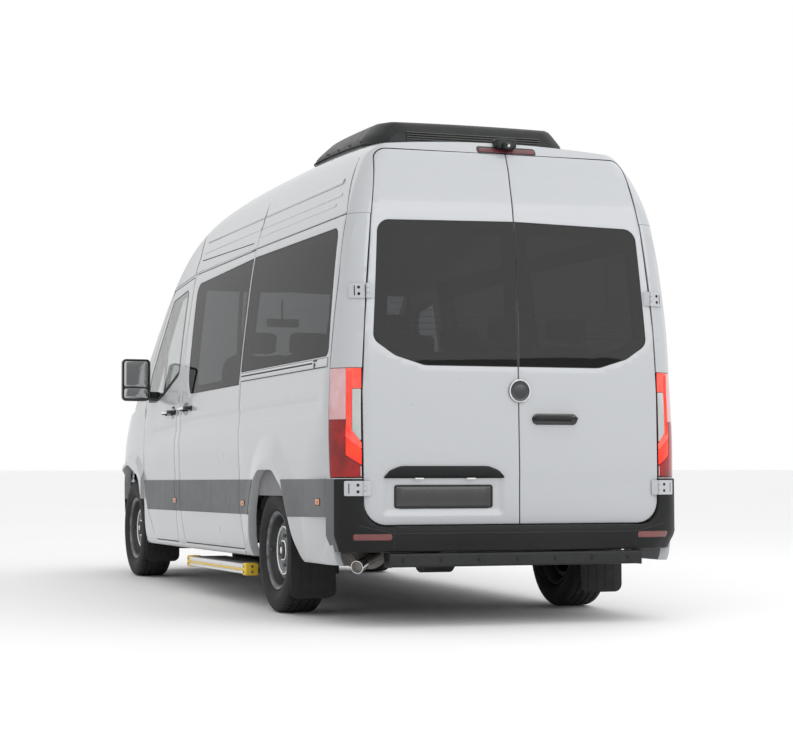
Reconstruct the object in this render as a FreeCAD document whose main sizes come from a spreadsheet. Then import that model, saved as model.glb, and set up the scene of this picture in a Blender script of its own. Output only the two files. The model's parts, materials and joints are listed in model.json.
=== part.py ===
import FreeCAD, Part
import math
import os

Vector = FreeCAD.Vector
os.makedirs("parts", exist_ok=True)
doc = FreeCAD.newDocument("minibus")

# Driving dimensions in millimetres, one row each: alias, value, what it is.
SIZES = [
    ("half_length", 2966, "half of the overall length"),
    ("half_width", 1010, "widest half width, at the waist"),
    ("body_base", 306, "lower edge of the sills above the floor"),
    ("wall", 55, "thickness of doors and side walls with their trim"),
    ("glass_thick", 6, "glass thickness"),
    ("panel_gap", 6, "gap between a door and its neighbours"),
    ("seat_gap", 0.3, "clearance between pieces that seat on each other"),
    ("rear_axle_x", -1703, "rear axle line"),
    ("wheelbase", 3665, "axle to axle"),
    ("axle_high", 350, "wheel centre above the floor"),
    ("rake_deg", 0.816, "nose-down stance"),
    ("tyre_radius", 350, "tyre radius"),
    ("tyre_width", 235, "tyre section width"),
    ("rim_radius", 203, "rim bead seat radius, 16 inch"),
    ("rim_flange", 219, "outer radius of the rim flange"),
    ("front_track_half", 866, "front wheel centre plane"),
    ("rear_track_half", 858, "rear wheel centre plane"),
    ("kingpin_y", 782, "steering axis from the centre plane"),
    ("arch_radius", 436, "wheel arch opening"),
    ("floor_top", 640, "passenger floor height"),
    ("floor_thick", 60, "floor thickness"),
    ("rail_y", 430, "frame rail centre line"),
    ("rail_wide", 80, "frame rail width"),
    ("rail_deep", 130, "frame rail depth"),
    ("door_split", -30, "centre line between the two rear doors"),
    ("belt_top", 755, "top of the grey side cladding"),
    ("belt_bottom", 550, "bottom of the grey side cladding"),
    ("step_long", 1440, "length of the side step"),
    ("step_reach", 1000, "outer edge of the side step"),
    ("step_wide", 260, "depth of the side step"),
    ("step_top", 281, "top of the side step tread"),
    ("step_thick", 92, "height of the side step"),
    ("step_mid_x", -490, "middle of the side step"),
    ("plate_long", 520, "number plate length"),
    ("unit_long", 1155, "roof cooling unit length"),
    ("unit_half", 605, "roof cooling unit half width"),
    ("nose_wall", 40, "depth of the front end panels with their stiffening"),
    ("corner_round", 95, "radius of the rear corners in plan"),
]
sheet = doc.addObject("Spreadsheet::Sheet", "sizes")
for row, (alias, value, meaning) in enumerate(SIZES, start=1):
    sheet.set("A%d" % row, meaning)
    sheet.set("B%d" % row, str(value))
    sheet.setAlias("B%d" % row, alias)
doc.recompute()


def size(alias):
    return float(sheet.get(alias))


half_length = size("half_length")
half_width = size("half_width")
base = size("body_base")
wall = size("wall")
glass = size("glass_thick")
gap = size("panel_gap")
seat = size("seat_gap")
rear_x = size("rear_axle_x")
front_x = rear_x + size("wheelbase")
hub_z = size("axle_high")
rake = size("rake_deg")
front_hub_z = hub_z + size("wheelbase") * math.sin(math.radians(rake))
arch = size("arch_radius")
floor_top = size("floor_top")
floor_low = floor_top - size("floor_thick")
split = size("door_split")
corner_round = size("corner_round")
nose_wall = size("nose_wall")

STANCE = FreeCAD.Placement(
    Vector(0, 0, 0),
    FreeCAD.Rotation(Vector(0, 1, 0), rake),
    Vector(rear_x, 0, hub_z),
)
pieces = {}


def keep(name, shape):
    """Adds one piece to the document and stands it in the nose-down stance."""
    feature = doc.addObject("Part::Feature", name)
    feature.Label = name
    feature.Shape = shape
    feature.Placement = STANCE
    pieces[name] = feature
    return feature


def mirrored(shape):
    """The same shape on the other side of the centre plane."""
    return shape.mirror(Vector(0, 0, 0), Vector(0, 1, 0))


# Smooth curves of the body, each as pairs of a position and a value.
def smooth(pairs):
    """A monotone cubic through the pairs, held level past both ends."""
    xs = [pair[0] for pair in pairs]
    ys = [pair[1] for pair in pairs]
    count = len(xs) - 1
    slopes = [(ys[i + 1] - ys[i]) / (xs[i + 1] - xs[i]) for i in range(count)]
    tangents = [slopes[0]]
    for a, b in zip(slopes, slopes[1:]):
        tangents.append(0.0 if a * b <= 0 else 2 * a * b / (a + b))
    tangents.append(slopes[-1])

    def value(x):
        x = min(max(x, xs[0]), xs[-1])
        i = max(j for j in range(count) if xs[j] <= x)
        step = xs[i + 1] - xs[i]
        t = (x - xs[i]) / step
        near = (2 * t**3 - 3 * t * t + 1) * ys[i] + (t**3 - 2 * t * t + t) * step * tangents[i]
        far = (3 * t * t - 2 * t**3) * ys[i + 1] + (t**3 - t * t) * step * tangents[i + 1]
        return near + far

    return value


# How far the side stands in from the widest half width, by height.
side_inset = smooth([
    (100, 80), (290, 45), (340, 25), (550, 7), (755, 2), (950, 0), (1100, 5),
    (1394, 30), (1769, 72), (2079, 117), (2300, 175), (2480, 262), (2700, 420),
])
# Height of the roof edge, windscreen pillar included, along the body.
edge_height = smooth([
    (-3100, 2440), (-2740, 2530), (-2400, 2572), (-1500, 2606), (-700, 2604),
    (0, 2578), (350, 2535), (623, 2462), (800, 2350), (1000, 2180),
    (1150, 2040), (1500, 1700), (1800, 1400), (2050, 1150), (2200, 1000),
])
crown_height = smooth([(-3100, 30), (0, 38), (623, 60), (1000, 100), (1500, 130), (2200, 140)])
corner_width = smooth([(-3100, 120), (0, 130), (623, 110), (1000, 70), (1500, 55), (2200, 50)])
corner_height = smooth([(-3100, 100), (0, 110), (623, 100), (1000, 70), (1500, 55), (2200, 50)])
# The rear face leans forward towards the roof.
rear_face = smooth([
    (100, -2890), (511, -2900), (763, -2902), (1100, -2895), (1343, -2890),
    (1523, -2885), (1769, -2870), (2074, -2842), (2300, -2800), (2475, -2739),
    (2560, -2690), (2750, -2540),
])
REAR_LEVELS = [100, 500, 900, 1300, 1700, 2074, 2300, 2475, 2560, 2750]
CORNER_TURN = 78
STATIONS = [-3050, -2700, -2200, -1600, -900, -300, 200, 500, 750, 1000, 1250, 1550, 1850, 2100]
INNER_STATIONS = [-3200, -2500, -1500, 0, 450, 750, 1000, 1500, 2100]
SKIN_BASE = 150
SIDE_POINTS = 8
INNER_POINTS = 7


def side_y(z):
    """Half width of the body at a height."""
    return half_width - side_inset(z)


def spline(points):
    """A smooth curve through the points."""
    made = Part.BSplineCurve()
    made.interpolate(points)
    return made.toShape()


def bezier(points):
    """A curve drawn by its control points."""
    made = Part.BezierCurve()
    made.setPoles(points)
    return made.toShape()


def roof_corner(x, inset):
    """Start, middle and end of the curve over the roof edge at x, as y and z."""
    slope = (edge_height(x + 5) - edge_height(x - 5)) / 10.0
    drop = inset * math.sqrt(1 + slope * slope)
    top = edge_height(x) - drop
    low = top - corner_height(x)
    start = side_y(low) - inset
    lean = (side_y(low) - side_y(low - 20)) / 20.0
    rise = 0.75 * (top - low)
    return (start, low), (start + lean * rise, low + rise), (start - corner_width(x), top)


def body_section(x, inset):
    """Closed section of the body at x: sides, roof edges and crown."""
    corner = roof_corner(x, inset)
    low = corner[0][1]
    top = corner[2][1]
    edge_y = corner[2][0]
    left = []
    for i in range(SIDE_POINTS):
        z = SKIN_BASE + (low - SKIN_BASE) * i / (SIDE_POINTS - 1)
        left.append(Vector(x, side_y(z) - inset, z))
    right = [Vector(x, -point.y, point.z) for point in reversed(left)]
    crown = Vector(x, 0, top + 2 * crown_height(x))
    return Part.Wire([
        spline(left),
        bezier([Vector(x, y, z) for y, z in corner]),
        bezier([Vector(x, edge_y, top), crown, Vector(x, -edge_y, top)]),
        bezier([Vector(x, -y, z) for y, z in reversed(corner)]),
        spline(right),
        Part.makeLine(right[-1], left[0]),
    ])


def inner_section(x, inset):
    """Section of the room inside, with flat trim panels."""
    corner = roof_corner(x, inset)
    low = corner[0][1]
    left = [Vector(x, side_y(SKIN_BASE) - inset, 0)]
    for i in range(1, INNER_POINTS):
        z = low * i / (INNER_POINTS - 1)
        left.append(Vector(x, side_y(z) - inset, z))
    left.append(Vector(x, corner[2][0], corner[2][1]))
    left.append(Vector(x, corner[2][0] / 2, corner[2][1] + 0.75 * crown_height(x)))
    right = [Vector(x, -point.y, point.z) for point in reversed(left)]
    return Part.makePolygon(left + [Vector(x, 0, corner[2][1] + crown_height(x))] + right + [left[0]])


def closed_solid(faces):
    """One solid from faces that share their edges."""
    shell = Part.Shell(faces)
    if not shell.isClosed():
        shell.sewShape()
    solid = Part.Solid(shell)
    if solid.Volume < 0:
        solid.reverse()
    return solid


def outline(points, plane, at):
    """A closed wire from corner points, each with the radius that rounds it."""
    corners = []
    count = len(points)
    for i in range(count):
        here = Vector(points[i][0], points[i][1], 0)
        before = Vector(points[i - 1][0], points[i - 1][1], 0)
        after = Vector(points[(i + 1) % count][0], points[(i + 1) % count][1], 0)
        radius = points[i][2] if len(points[i]) > 2 else 0
        back = (before - here).normalize()
        ahead = (after - here).normalize()
        half = back.getAngle(ahead) / 2
        if radius == 0 or abs(half - math.pi / 2) < 0.001:
            corners.append((here, None, here))
            continue
        cut = radius / math.tan(half)
        centre = here + (back + ahead).normalize() * (radius / math.sin(half))
        middle = centre + (here - centre).normalize() * radius
        corners.append((here + back * cut, middle, here + ahead * cut))

    def place(v):
        if plane == "xz":
            return Vector(v.x, at, v.y)
        if plane == "yz":
            return Vector(at, v.x, v.y)
        return Vector(v.x, v.y, at)

    edges = []
    for i in range(count):
        start, middle, end = corners[i]
        if middle is not None:
            edges.append(Part.Arc(place(start), place(middle), place(end)).toShape())
        following = corners[(i + 1) % count][0]
        if end.distanceToPoint(following) > 0.001:
            edges.append(Part.makeLine(place(end), place(following)))
    return Part.Wire(edges)


def largest(shape):
    """The biggest solid of a shape, without the slivers that a cut leaves."""
    return max(shape.Solids, key=lambda piece: piece.Volume)


def prism(points, plane, near, far, grow=0.0):
    """A block with the outline given, from near to far across its plane."""
    wire = outline(points, plane, near)
    face = Part.Face(wire)
    if grow:
        face = face.makeOffset2D(grow)
    direction = {"xz": Vector(0, 1, 0), "yz": Vector(1, 0, 0), "xy": Vector(0, 0, 1)}[plane]
    return face.extrude(direction * (far - near))


def box(x0, x1, y0, y1, z0, z1):
    return Part.makeBox(x1 - x0, y1 - y0, z1 - z0, Vector(x0, y0, z0))


def rear_block(inset):
    """The space ahead of the rear face, with its two upright corners rounded."""
    radius = corner_round - 0.5 * inset
    turn = math.radians(CORNER_TURN)
    far = 5000
    wide = 1300
    run = 60
    slices = []
    for z in REAR_LEVELS:
        flat = side_y(z) - inset - radius
        face_x = rear_face(z) + inset

        def at(angle, side):
            along = face_x + radius * (1 - math.cos(angle))
            return Vector(along, side * (flat + radius * math.sin(angle)), z)

        def past(side):
            start = at(turn, side)
            return start + Vector(run * math.sin(turn), side * run * math.cos(turn), 0)

        slices.append(Part.Wire([
            Part.makeLine(Vector(far, wide, z), Vector(past(1).x, wide, z)),
            Part.makeLine(Vector(past(1).x, wide, z), past(1)),
            Part.makeLine(past(1), at(turn, 1)),
            Part.Arc(at(turn, 1), at(turn / 2, 1), at(0, 1)).toShape(),
            Part.makeLine(at(0, 1), at(0, -1)),
            Part.Arc(at(0, -1), at(turn / 2, -1), at(turn, -1)).toShape(),
            Part.makeLine(at(turn, -1), past(-1)),
            Part.makeLine(past(-1), Vector(past(-1).x, -wide, z)),
            Part.makeLine(Vector(past(-1).x, -wide, z), Vector(far, -wide, z)),
            Part.makeLine(Vector(far, -wide, z), Vector(far, wide, z)),
        ]))
    return Part.makeLoft(slices, True, False)


def box_body(inset):
    """The cab and cabin as one solid, its skin moved in by inset."""
    body = Part.makeLoft([body_section(x, inset) for x in STATIONS], True, False)
    return body.common(rear_block(inset))


def side_slab(inset):
    """The body between its two side skins, below the roof edge, moved in by inset."""
    top = 2260
    count = 11
    x = STATIONS[0]
    levels = [SKIN_BASE + (top - SKIN_BASE) * i / (count - 1) for i in range(count)]
    left = [Vector(x, side_y(z) - inset, z) for z in levels]
    right = [Vector(x, -point.y, point.z) for point in reversed(left)]
    wire = Part.Wire([
        spline(left), Part.makeLine(left[-1], right[0]),
        spline(right), Part.makeLine(right[-1], left[0]),
    ])
    return Part.Face(wire).extrude(Vector(STATIONS[-1] - STATIONS[0], 0, 0))


def room(inset):
    """The space inside the cab and cabin, inset from the skin."""
    inside = Part.makeLoft([inner_section(x, inset) for x in INNER_STATIONS], True, True)
    rear = [(rear_face(z) + inset, z) for z in (-10, 763, 1450, 1769, 2074, 2300, 2475, 2700)]
    return inside.common(prism(rear + [(5000, 2700), (5000, -10)], "xz", -1500, 1500))


# The nose, as level slices from the sill line to the bonnet.
nose_reach = smooth([
    (150, 2860), (300, 2920), (450, 2955), (600, 2966), (750, 2952), (900, 2905),
    (1000, 2850), (1100, 2760), (1200, 2640), (1320, 2480),
])
NOSE_START = 1100
NOSE_BLEND = 1700
NOSE_POWER = 3.2
NOSE_LEVELS = [150 + 130 * i for i in range(10)]
NOSE_POINTS = 15


def nose_slice(z, inset, count):
    """Half of a level slice of the nose, from the door to the centre, in even steps."""
    side = side_y(z) - inset
    reach = nose_reach(z) - inset - NOSE_BLEND
    path = [(NOSE_START, side)]
    for i in range(181):
        turn = math.radians(0.5 * i)
        along = math.sin(turn) ** (2 / NOSE_POWER)
        across = math.cos(turn) ** (2 / NOSE_POWER)
        path.append((NOSE_BLEND + reach * along, side * across))
    path[-1] = (NOSE_BLEND + reach, 0.0)
    lengths = [0.0]
    for a, b in zip(path, path[1:]):
        lengths.append(lengths[-1] + math.hypot(b[0] - a[0], b[1] - a[1]))
    points = []
    for i in range(count):
        wanted = lengths[-1] * i / (count - 1)
        k = 1
        while k < len(lengths) - 1 and lengths[k] < wanted:
            k += 1
        share = (wanted - lengths[k - 1]) / (lengths[k] - lengths[k - 1])
        points.append(tuple(path[k - 1][n] + share * (path[k][n] - path[k - 1][n]) for n in (0, 1)))
    return points


def nose_body(inset):
    """The front end under the bonnet line as one solid."""
    grid = []
    for z in NOSE_LEVELS:
        half = nose_slice(z, inset, NOSE_POINTS)
        left = [Vector(x, y, z) for x, y in half]
        right = [Vector(x, -y, z) for x, y in reversed(half[:-1])]
        grid.append(left + right)
    surface = Part.BSplineSurface()
    surface.interpolate(grid)
    skin = surface.toShape()
    lids = []
    for row in (grid[0], grid[-1]):
        curve = None
        for edge in skin.Edges:
            if edge.BoundBox.ZLength < 0.01 and abs(edge.BoundBox.ZMin - row[0].z) < 0.01:
                curve = edge
        lids.append(Part.Face(Part.Wire([curve, Part.makeLine(row[-1], row[0])])))
    back = []
    for edge in skin.Edges:
        if edge.BoundBox.ZLength > 100:
            back.append(edge)
    low = Part.makeLine(grid[0][0], grid[0][-1])
    high = Part.makeLine(grid[-1][0], grid[-1][-1])
    wall_face = Part.Face(Part.Wire(Part.sortEdges([back[0], back[1], low, high])[0]))
    return closed_solid([skin, lids[0], lids[1], wall_face])


def nose_room(inset):
    """The space inside the nose, with flat sides."""
    slices = []
    for z in (0, 450, 750, 950, 1150, 1320):
        half = nose_slice(max(z, SKIN_BASE), inset, 9)
        left = [Vector(x, y, z) for x, y in half]
        right = [Vector(x, -y, z) for x, y in reversed(half[:-1])]
        slices.append(Part.makePolygon(left + right + [left[0]]))
    return Part.makeLoft(slices, True, True)


bonnet_centre = smooth([(1000, 1420), (2000, 1300), (2300, 1222), (2600, 1115), (2780, 1010), (2900, 880), (3000, 700)])
bonnet_fall = smooth([(1000, 40), (2000, 60), (2374, 165), (2700, 230), (3000, 260)])


def bonnet_surface(drop):
    """The solid under the crowned bonnet, lowered by drop."""
    grid = []
    for i in range(17):
        x = 1000 + i * 125
        row = []
        for j in range(-5, 6):
            y = j * 220
            fall = bonnet_fall(x) * (abs(y) / 930.0) ** 2.6
            row.append(Vector(x, y, bonnet_centre(x) - fall - drop))
        grid.append(row)
    surface = Part.BSplineSurface()
    surface.interpolate(grid)
    face = surface.toShape()
    return face.extrude(Vector(0, 0, -1900))


def bonnet_room(drop):
    """The space under the bonnet, with flat panels."""
    slices = []
    for x in (1000, 2000, 2300, 2550, 2750, 2900, 3000):
        top = []
        for y in (1100, 800, 500, 0, -500, -800, -1100):
            fall = bonnet_fall(x) * (abs(y) / 930.0) ** 2.6
            top.append(Vector(x, y, bonnet_centre(x) - fall - drop))
        low = [Vector(x, -1100, -100), Vector(x, 1100, -100)]
        slices.append(Part.makePolygon(top + low + [top[0]]))
    return Part.makeLoft(slices, True, True)


body_out = box_body(0)
body_glass = box_body(glass + seat)
body_pane = box_body(glass)
body_in = room(wall)
shell = body_out.cut(body_in)
side_out = side_slab(0)
side_shell = side_out.cut(body_in)
side_glass = side_slab(glass + seat)
side_pane = side_slab(glass)
rear_out = rear_block(0)
rear_glass_back = rear_block(glass + seat)
rear_pane_back = rear_block(glass)
rear_shell = rear_out.common(box(-3200, -2500, -1000, 1000, 450, 2560)).cut(body_in)

# Outlines seen from the side, as x, z and corner radius.
sill_top = 338
cab_door_shape = [
    (520, sill_top + gap, 25), (552, 700, 0), (556, 1000, 0), (540, 1420, 0), (492, 1750, 0),
    (478, 2112, 40), (1020, 2062, 70), (1490, 1500, 60), (1506, 1250, 0), (1500, 790, 150),
    (1395, 560, 150), (1190, sill_top + gap, 25),
]
cab_glass_shape = [
    (592, 1462, 50), (600, 2040, 50), (1000, 1992, 60), (1420, 1480, 30),
    (1452, 1306, 25), (1200, 1298, 150), (980, 1338, 0),
]
slider_shape = [
    (330, sill_top + gap, 25), (398, 560, 0), (405, 760, 0), (420, 1050, 0), (456, 1400, 0), (466, 1750, 0),
    (462, 2124, 40), (-1000, 2136, 20), (-1006, 1400, 0), (-1066, 1050, 0), (-1086, 760, 0),
    (-1090, 560, 0), (-1145, sill_top + gap, 25),
]
slider_glass_shape = [
    (214, 1317, 60), (300, 1400, 200), (352, 2050, 70), (-990, 2086, 4), (-990, 1322, 4),
]
quarter_glass_shape = [
    (-1022, 1396, 10), (-1022, 2088, 4), (-2652, 2081, 70), (-2735, 1396, 40),
]
rear_arch_shape = [
    (-1305, 100, 0), (-1305, 330, 0), (-1350, 560, 0), (-1420, 740, 120), (-1560, 806, 160), (-1850, 806, 160),
    (-2040, 700, 160), (-2145, 540, 0), (-2330, 250, 0), (-2330, 100, 0),
]
door_low = 514
rear_door_out = [
    (split + gap / 2, door_low, 4), (838, door_low, 120), (842, 1200, 0), (826, 1560, 0),
    (776, 2110, 0), (716, 2502, 70), (split + gap / 2, 2506, 4),
]
rear_glass_out = [
    (split + gap / 2, 1346, 4), (500, 1346, 120), (664, 1396, 90), (783, 1476, 60), (742, 2108, 70),
    (split + gap / 2, 2124, 4),
]
# The right door is as wide as what the offset split leaves.
rear_door_in = [
    (split - gap / 2, door_low, 4), (-838, door_low, 120), (-842, 1200, 0), (-826, 1560, 0),
    (-776, 2110, 0), (-716, 2502, 70), (split - gap / 2, 2506, 4),
]
rear_glass_in = [
    (split - gap / 2, 1346, 4), (-500, 1346, 120), (-664, 1396, 90), (-783, 1476, 60),
    (-742, 2108, 70), (split - gap / 2, 2124, 4),
]
roof_line = [
    (-3100, 2142), (-900, 2142), (480, 2130), (1036, 2078), (1120, 2085), (1240, 2240),
    (1240, 2900), (-3100, 2900),
]
screen_shape = [
    (1036, 2078), (1120 + seat, 2085 - seat), (1240 + seat, 2240), (1700, 2240), (2150, 1500), (2150, 1262),
    (1400, 1262),
]
FRAME_LAP = 42
REAR_NEAR = -3000
REAR_FAR = -2600


def window(shape, plane, near, far, back):
    """The recess for a pane, as deep as back allows, and the hole behind it, as one cutter."""
    recess = prism(shape, plane, near, far).cut(back)
    hole = prism(shape, plane, near, far, -FRAME_LAP)
    return recess.fuse(hole)


def pane_piece(shape, plane, near, far, skin, back):
    """A pane of glass with a small gap round its edge."""
    return prism(shape, plane, near, far, -seat).common(skin).cut(back)


# The grey band and the stamped flares stand proud of the side skin.
band_proud = 5
belt_top = size("belt_top")
belt_bottom = size("belt_bottom")
band_ring = side_slab(-band_proud).cut(side_slab(2))
flare_proud = 22
flare_slope = 150


def band(x0, x1):
    """A stretch of the grey band on the left side."""
    return band_ring.common(box(x0, x1, 500, 1100, belt_bottom, belt_top))


def flare(contour, crest):
    """A flare that rises from its contour to a smaller crest line."""
    low = outline(contour, "xz", side_y(900) - 25)
    high = outline(crest, "xz", side_y(900) + flare_proud)
    return Part.makeLoft([low, high], True, True)


# Doors and side walls.
cab_door = prism(cab_door_shape, "xz", 500, 1100).common(side_shell)
cab_door = cab_door.fuse(band(560, 1480).common(prism(cab_door_shape, "xz", 500, 1100, -3)))
cab_door = cab_door.cut(window(cab_glass_shape, "xz", 500, 1100, side_glass))
keep("cab_door_left", cab_door)
keep("cab_door_right", mirrored(cab_door))
cab_pane = pane_piece(cab_glass_shape, "xz", 500, 1100, side_out, side_pane)
keep("cab_glass_left", cab_pane)
keep("cab_glass_right", mirrored(cab_pane))

slider_block = prism(slider_shape, "xz", 500, 1100)
slider = slider_block.common(side_shell)
slider = slider.fuse(band(-1080, 394))
slider = slider.cut(window(slider_glass_shape, "xz", 500, 1100, side_glass))
keep("sliding_door", slider)
slider_pane = pane_piece(slider_glass_shape, "xz", 500, 1100, side_out, side_pane)
quarter_pane = pane_piece(quarter_glass_shape, "xz", 500, 1100, side_out, side_pane)
side_panes = [slider_pane, quarter_pane, mirrored(slider_pane), mirrored(quarter_pane)]
keep("side_windows", Part.makeCompound(side_panes))

rear_left = prism(rear_door_out, "yz", REAR_NEAR, REAR_FAR).common(rear_shell)
rear_left = rear_left.cut(window(rear_glass_out, "yz", REAR_NEAR, REAR_FAR, rear_glass_back))
rear_right = prism(rear_door_in, "yz", REAR_NEAR, REAR_FAR).common(rear_shell)
rear_right = rear_right.cut(window(rear_glass_in, "yz", REAR_NEAR, REAR_FAR, rear_glass_back))
keep("rear_door_left", rear_left)
keep("rear_door_right", rear_right)
keep("rear_glass_left", pane_piece(rear_glass_out, "yz", REAR_NEAR, REAR_FAR, rear_out, rear_pane_back))
keep("rear_glass_right", pane_piece(rear_glass_in, "yz", REAR_NEAR, REAR_FAR, rear_out, rear_pane_back))

# The portal that the two rear doors close, wider than the doors by a gap.
portal_half = 848
lamp_low = 760
tail_deep = 22
tail_side = [
    (-3000, lamp_low, 0), (-2818, lamp_low, 10), (-2790, 1326, 10), (-3000, 1326, 0),
]


def lamp_back_body(inset):
    """The lower body with its rounded rear corners, its skin moved in by inset."""
    return side_slab(inset).common(rear_block(inset))


portal_shape = [
    (842, 508, 120), (portal_half, 1200, 0), (832, 1560, 0), (782, 2110, 0), (722, 2508, 76),
    (-722, 2508, 76), (-782, 2110, 0), (-832, 1560, 0), (-portal_half, 1200, 0), (-842, 508, 120),
]
portal = prism(portal_shape, "yz", REAR_NEAR, REAR_FAR)

roof_block = prism(roof_line, "xz", -1200, 1200)
roof = shell.common(roof_block).cut(portal)
keep("roof", roof)

side_block = prism([
    (-3100, base, 0), (-3100, 2142 - seat, 0), (-900, 2142 - seat, 0), (480, 2130 - seat, 0),
    (1036 - seat, 2078 - seat, 0), (900, sill_top, 0), (front_x - 456, sill_top, 0),
    (front_x - 456, base, 0),
], "xz", 0, 1200)
side = side_shell.common(side_block).common(rear_out)
side = side.cut(box(-3100, -2790, -10, 1100, 0, door_low - gap))
side = side.cut(portal)
side = side.cut(prism(cab_door_shape, "xz", 500, 1100, gap))
side = side.cut(prism(rear_arch_shape, "xz", 500, 1100))
side = side.cut(prism(tail_side, "xz", portal_half - 20, 1100, seat).cut(lamp_back_body(tail_deep + seat)))
side_plain = side.cut(window(quarter_glass_shape, "xz", 500, 1100, side_glass))
rear_flare = flare([
    (-1245, 300), (-1245, 700), (-1400, 880), (-1600, 1005), (-1810, 1024), (-2010, 965),
    (-2180, 850), (-2360, 700), (-2400, 540), (-2400, 300),
], [
    (-1285, 300), (-1290, 640), (-1450, 800), (-1620, 880), (-1800, 890), (-1960, 845),
    (-2090, 740), (-2190, 600), (-2240, 480), (-2270, 300),
])
rear_flare = rear_flare.common(box(-2400, -1240, 900, 1100, base, 1100))
rear_flare = rear_flare.cut(prism(rear_arch_shape, "xz", 500, 1100))
side_plain = side_plain.fuse([rear_flare, band(-2755, -2100), band(-1400, -1096), band(414, 530)])
rail_cover = side_slab(-4).cut(side_slab(2)).common(box(-2735, -1030, 500, 1100, 1333, 1387))
rear_arch = prism(rear_arch_shape, "xz", 500, 1100)
side_left = side_plain.fuse(rail_cover).cut(prism(slider_shape, "xz", 500, 1100, gap))
side_left = largest(side_left.cut(rear_arch))
slider_window = window(slider_glass_shape, "xz", 500, 1100, side_glass)
side_right = side_plain.fuse(band(-1396, 530)).cut(slider_window)
side_right = mirrored(largest(side_right.cut(rear_arch)))
keep("body_side_left", side_left)
keep("body_side_right", side_right)

screen_block = prism(screen_shape, "xz", -1200, 1200)
screen_plan = prism([
    (1000, -860, 0), (2060, -905, 60), (2060, 905, 60), (1000, 860, 0),
], "xy", 1000, 2500)
screen = screen_block.common(screen_plan).common(body_out).cut(body_pane)
keep("windscreen", screen)
pillars = shell.common(screen_block).cut(screen_block.common(prism([
    (1000, -820, 0), (2100, -865, 60), (2100, 865, 60), (1000, 820, 0),
], "xy", 1000, 2500)))
pillars = pillars.cut(screen_block.common(screen_plan).cut(body_glass))
pillar_gap = prism(cab_door_shape, "xz", 500, 1100, gap)
pillar = largest(pillars.cut(pillar_gap).common(box(0, 3000, 0, 1200, 0, 3000)))
keep("windscreen_frame", Part.makeCompound([pillar, mirrored(pillar)]))

cab_front = 1700
# The front end: bumper, wings, bonnet, grille and lamps are cut from one hollow nose.
nose_out = nose_body(0).common(bonnet_surface(0))
nose_in = nose_room(nose_wall).common(bonnet_room(nose_wall))
nose = nose_out.cut(nose_in)
nose_seat = nose_room(nose_wall + seat).common(bonnet_room(nose_wall + seat))
front_arch_shape = [
    (front_x + 448, 100, 0), (front_x + 448, 560, 0), (front_x + 360, 780, 160),
    (front_x, 870, 260), (front_x - 360, 780, 160), (front_x - 462, 600, 120),
    (front_x - 452, 400, 0), (front_x - 452, 100, 0),
]
bumper_top = 735
bumper_side = [
    (front_x + 454, 250, 0), (front_x + 454, 560, 0), (front_x + 425, bumper_top, 0),
    (3200, bumper_top, 0), (3200, 250, 0),
]
bumper = nose.common(prism(bumper_side, "xz", -1200, 1200))
keep("front_bumper", bumper)
lamp_front = [
    (430, bumper_top + seat, 30), (470, 990, 60), (800, 1065, 90), (1200, 1080, 0),
    (1200, bumper_top + seat, 0),
]
lamp_back = 2420
lamp_block = prism(lamp_front, "yz", lamp_back, 3200)
lamp = lamp_block.common(nose)
lamp_hole = prism(lamp_front, "yz", lamp_back, 3200, gap)
keep("headlamps", Part.makeCompound([lamp, mirrored(lamp)]))
grille_front = [
    (-424, bumper_top + seat, 40), (-464, 985, 60), (464, 985, 60), (424, bumper_top + seat, 40),
]
grille_block = prism(grille_front, "yz", 2700, 3200)
keep("grille", grille_block.common(nose))
grille_hole = prism(grille_front, "yz", 2700, 3200, gap)
bonnet_plan = [
    (2085, 0, 0), (2085, 760, 60), (2560, 700, 160), (2800, 520, 120), (2900, 480, 0), (3200, 480, 0),
    (3200, -480, 0), (2900, -480, 0), (2800, -520, 120), (2560, -700, 160), (2085, -760, 60),
]
bonnet_low = 940
bonnet_block = prism(bonnet_plan, "xy", bonnet_low, 1500)
bonnet = bonnet_block.common(nose).cut(lamp_hole).cut(mirrored(lamp_hole)).cut(grille_hole)
bonnet = largest(bonnet)
keep("bonnet", bonnet)
wing_block = prism([
    (1150, sill_top + seat, 0), (1150, 1262 - seat, 0), (2100 + seat, 1262 - seat, 0),
    (2100 + seat, 1500, 0), (3200, 1500, 0), (3200, bumper_top + seat, 0), (front_x + 422, bumper_top + seat, 0),
    (front_x + 430, 560, 0), (front_x + 430, sill_top + seat, 0),
], "xz", 0, 1200)
wing = wing_block.common(nose).cut(prism(bonnet_plan, "xy", 700, 1500, gap))
wing = wing.cut(prism(cab_door_shape, "xz", 500, 1100, gap))
wing = wing.cut(lamp_hole).cut(grille_hole).cut(prism(front_arch_shape, "xz", 300, 1200))
wing = wing.cut(box(1000, 2085, 0, 905, 900, 1600))
front_flare = flare([
    (1512, 380), (1512, 880), (1700, 985), (1930, 1000), (2140, 930), (2300, 760), (2360, 560), (2360, 380),
], [
    (1512, 380), (1512, 760), (1690, 890), (1930, 920), (2120, 850), (2250, 700), (2300, 540), (2300, 380),
])
front_flare = front_flare.common(box(1512, 2360, 930, 1100, sill_top + seat, 1100))
front_flare = front_flare.cut(prism(front_arch_shape, "xz", 300, 1200))
front_flare = front_flare.cut(prism(bumper_side, "xz", 300, 1200, gap)).cut(nose_room(nose_wall))
wing = wing.fuse(front_flare)
wing = largest(wing)
keep("front_wings", Part.makeCompound([wing, mirrored(wing)]))
cowl = prism([
    (cab_front + seat, 1180, 0), (cab_front + seat, 1224, 0), (2060, 1236, 0), (2079, 1250, 0),
    (2079, 1180, 0),
], "xz", -740, 740)
keep("cowl", cowl)

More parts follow.
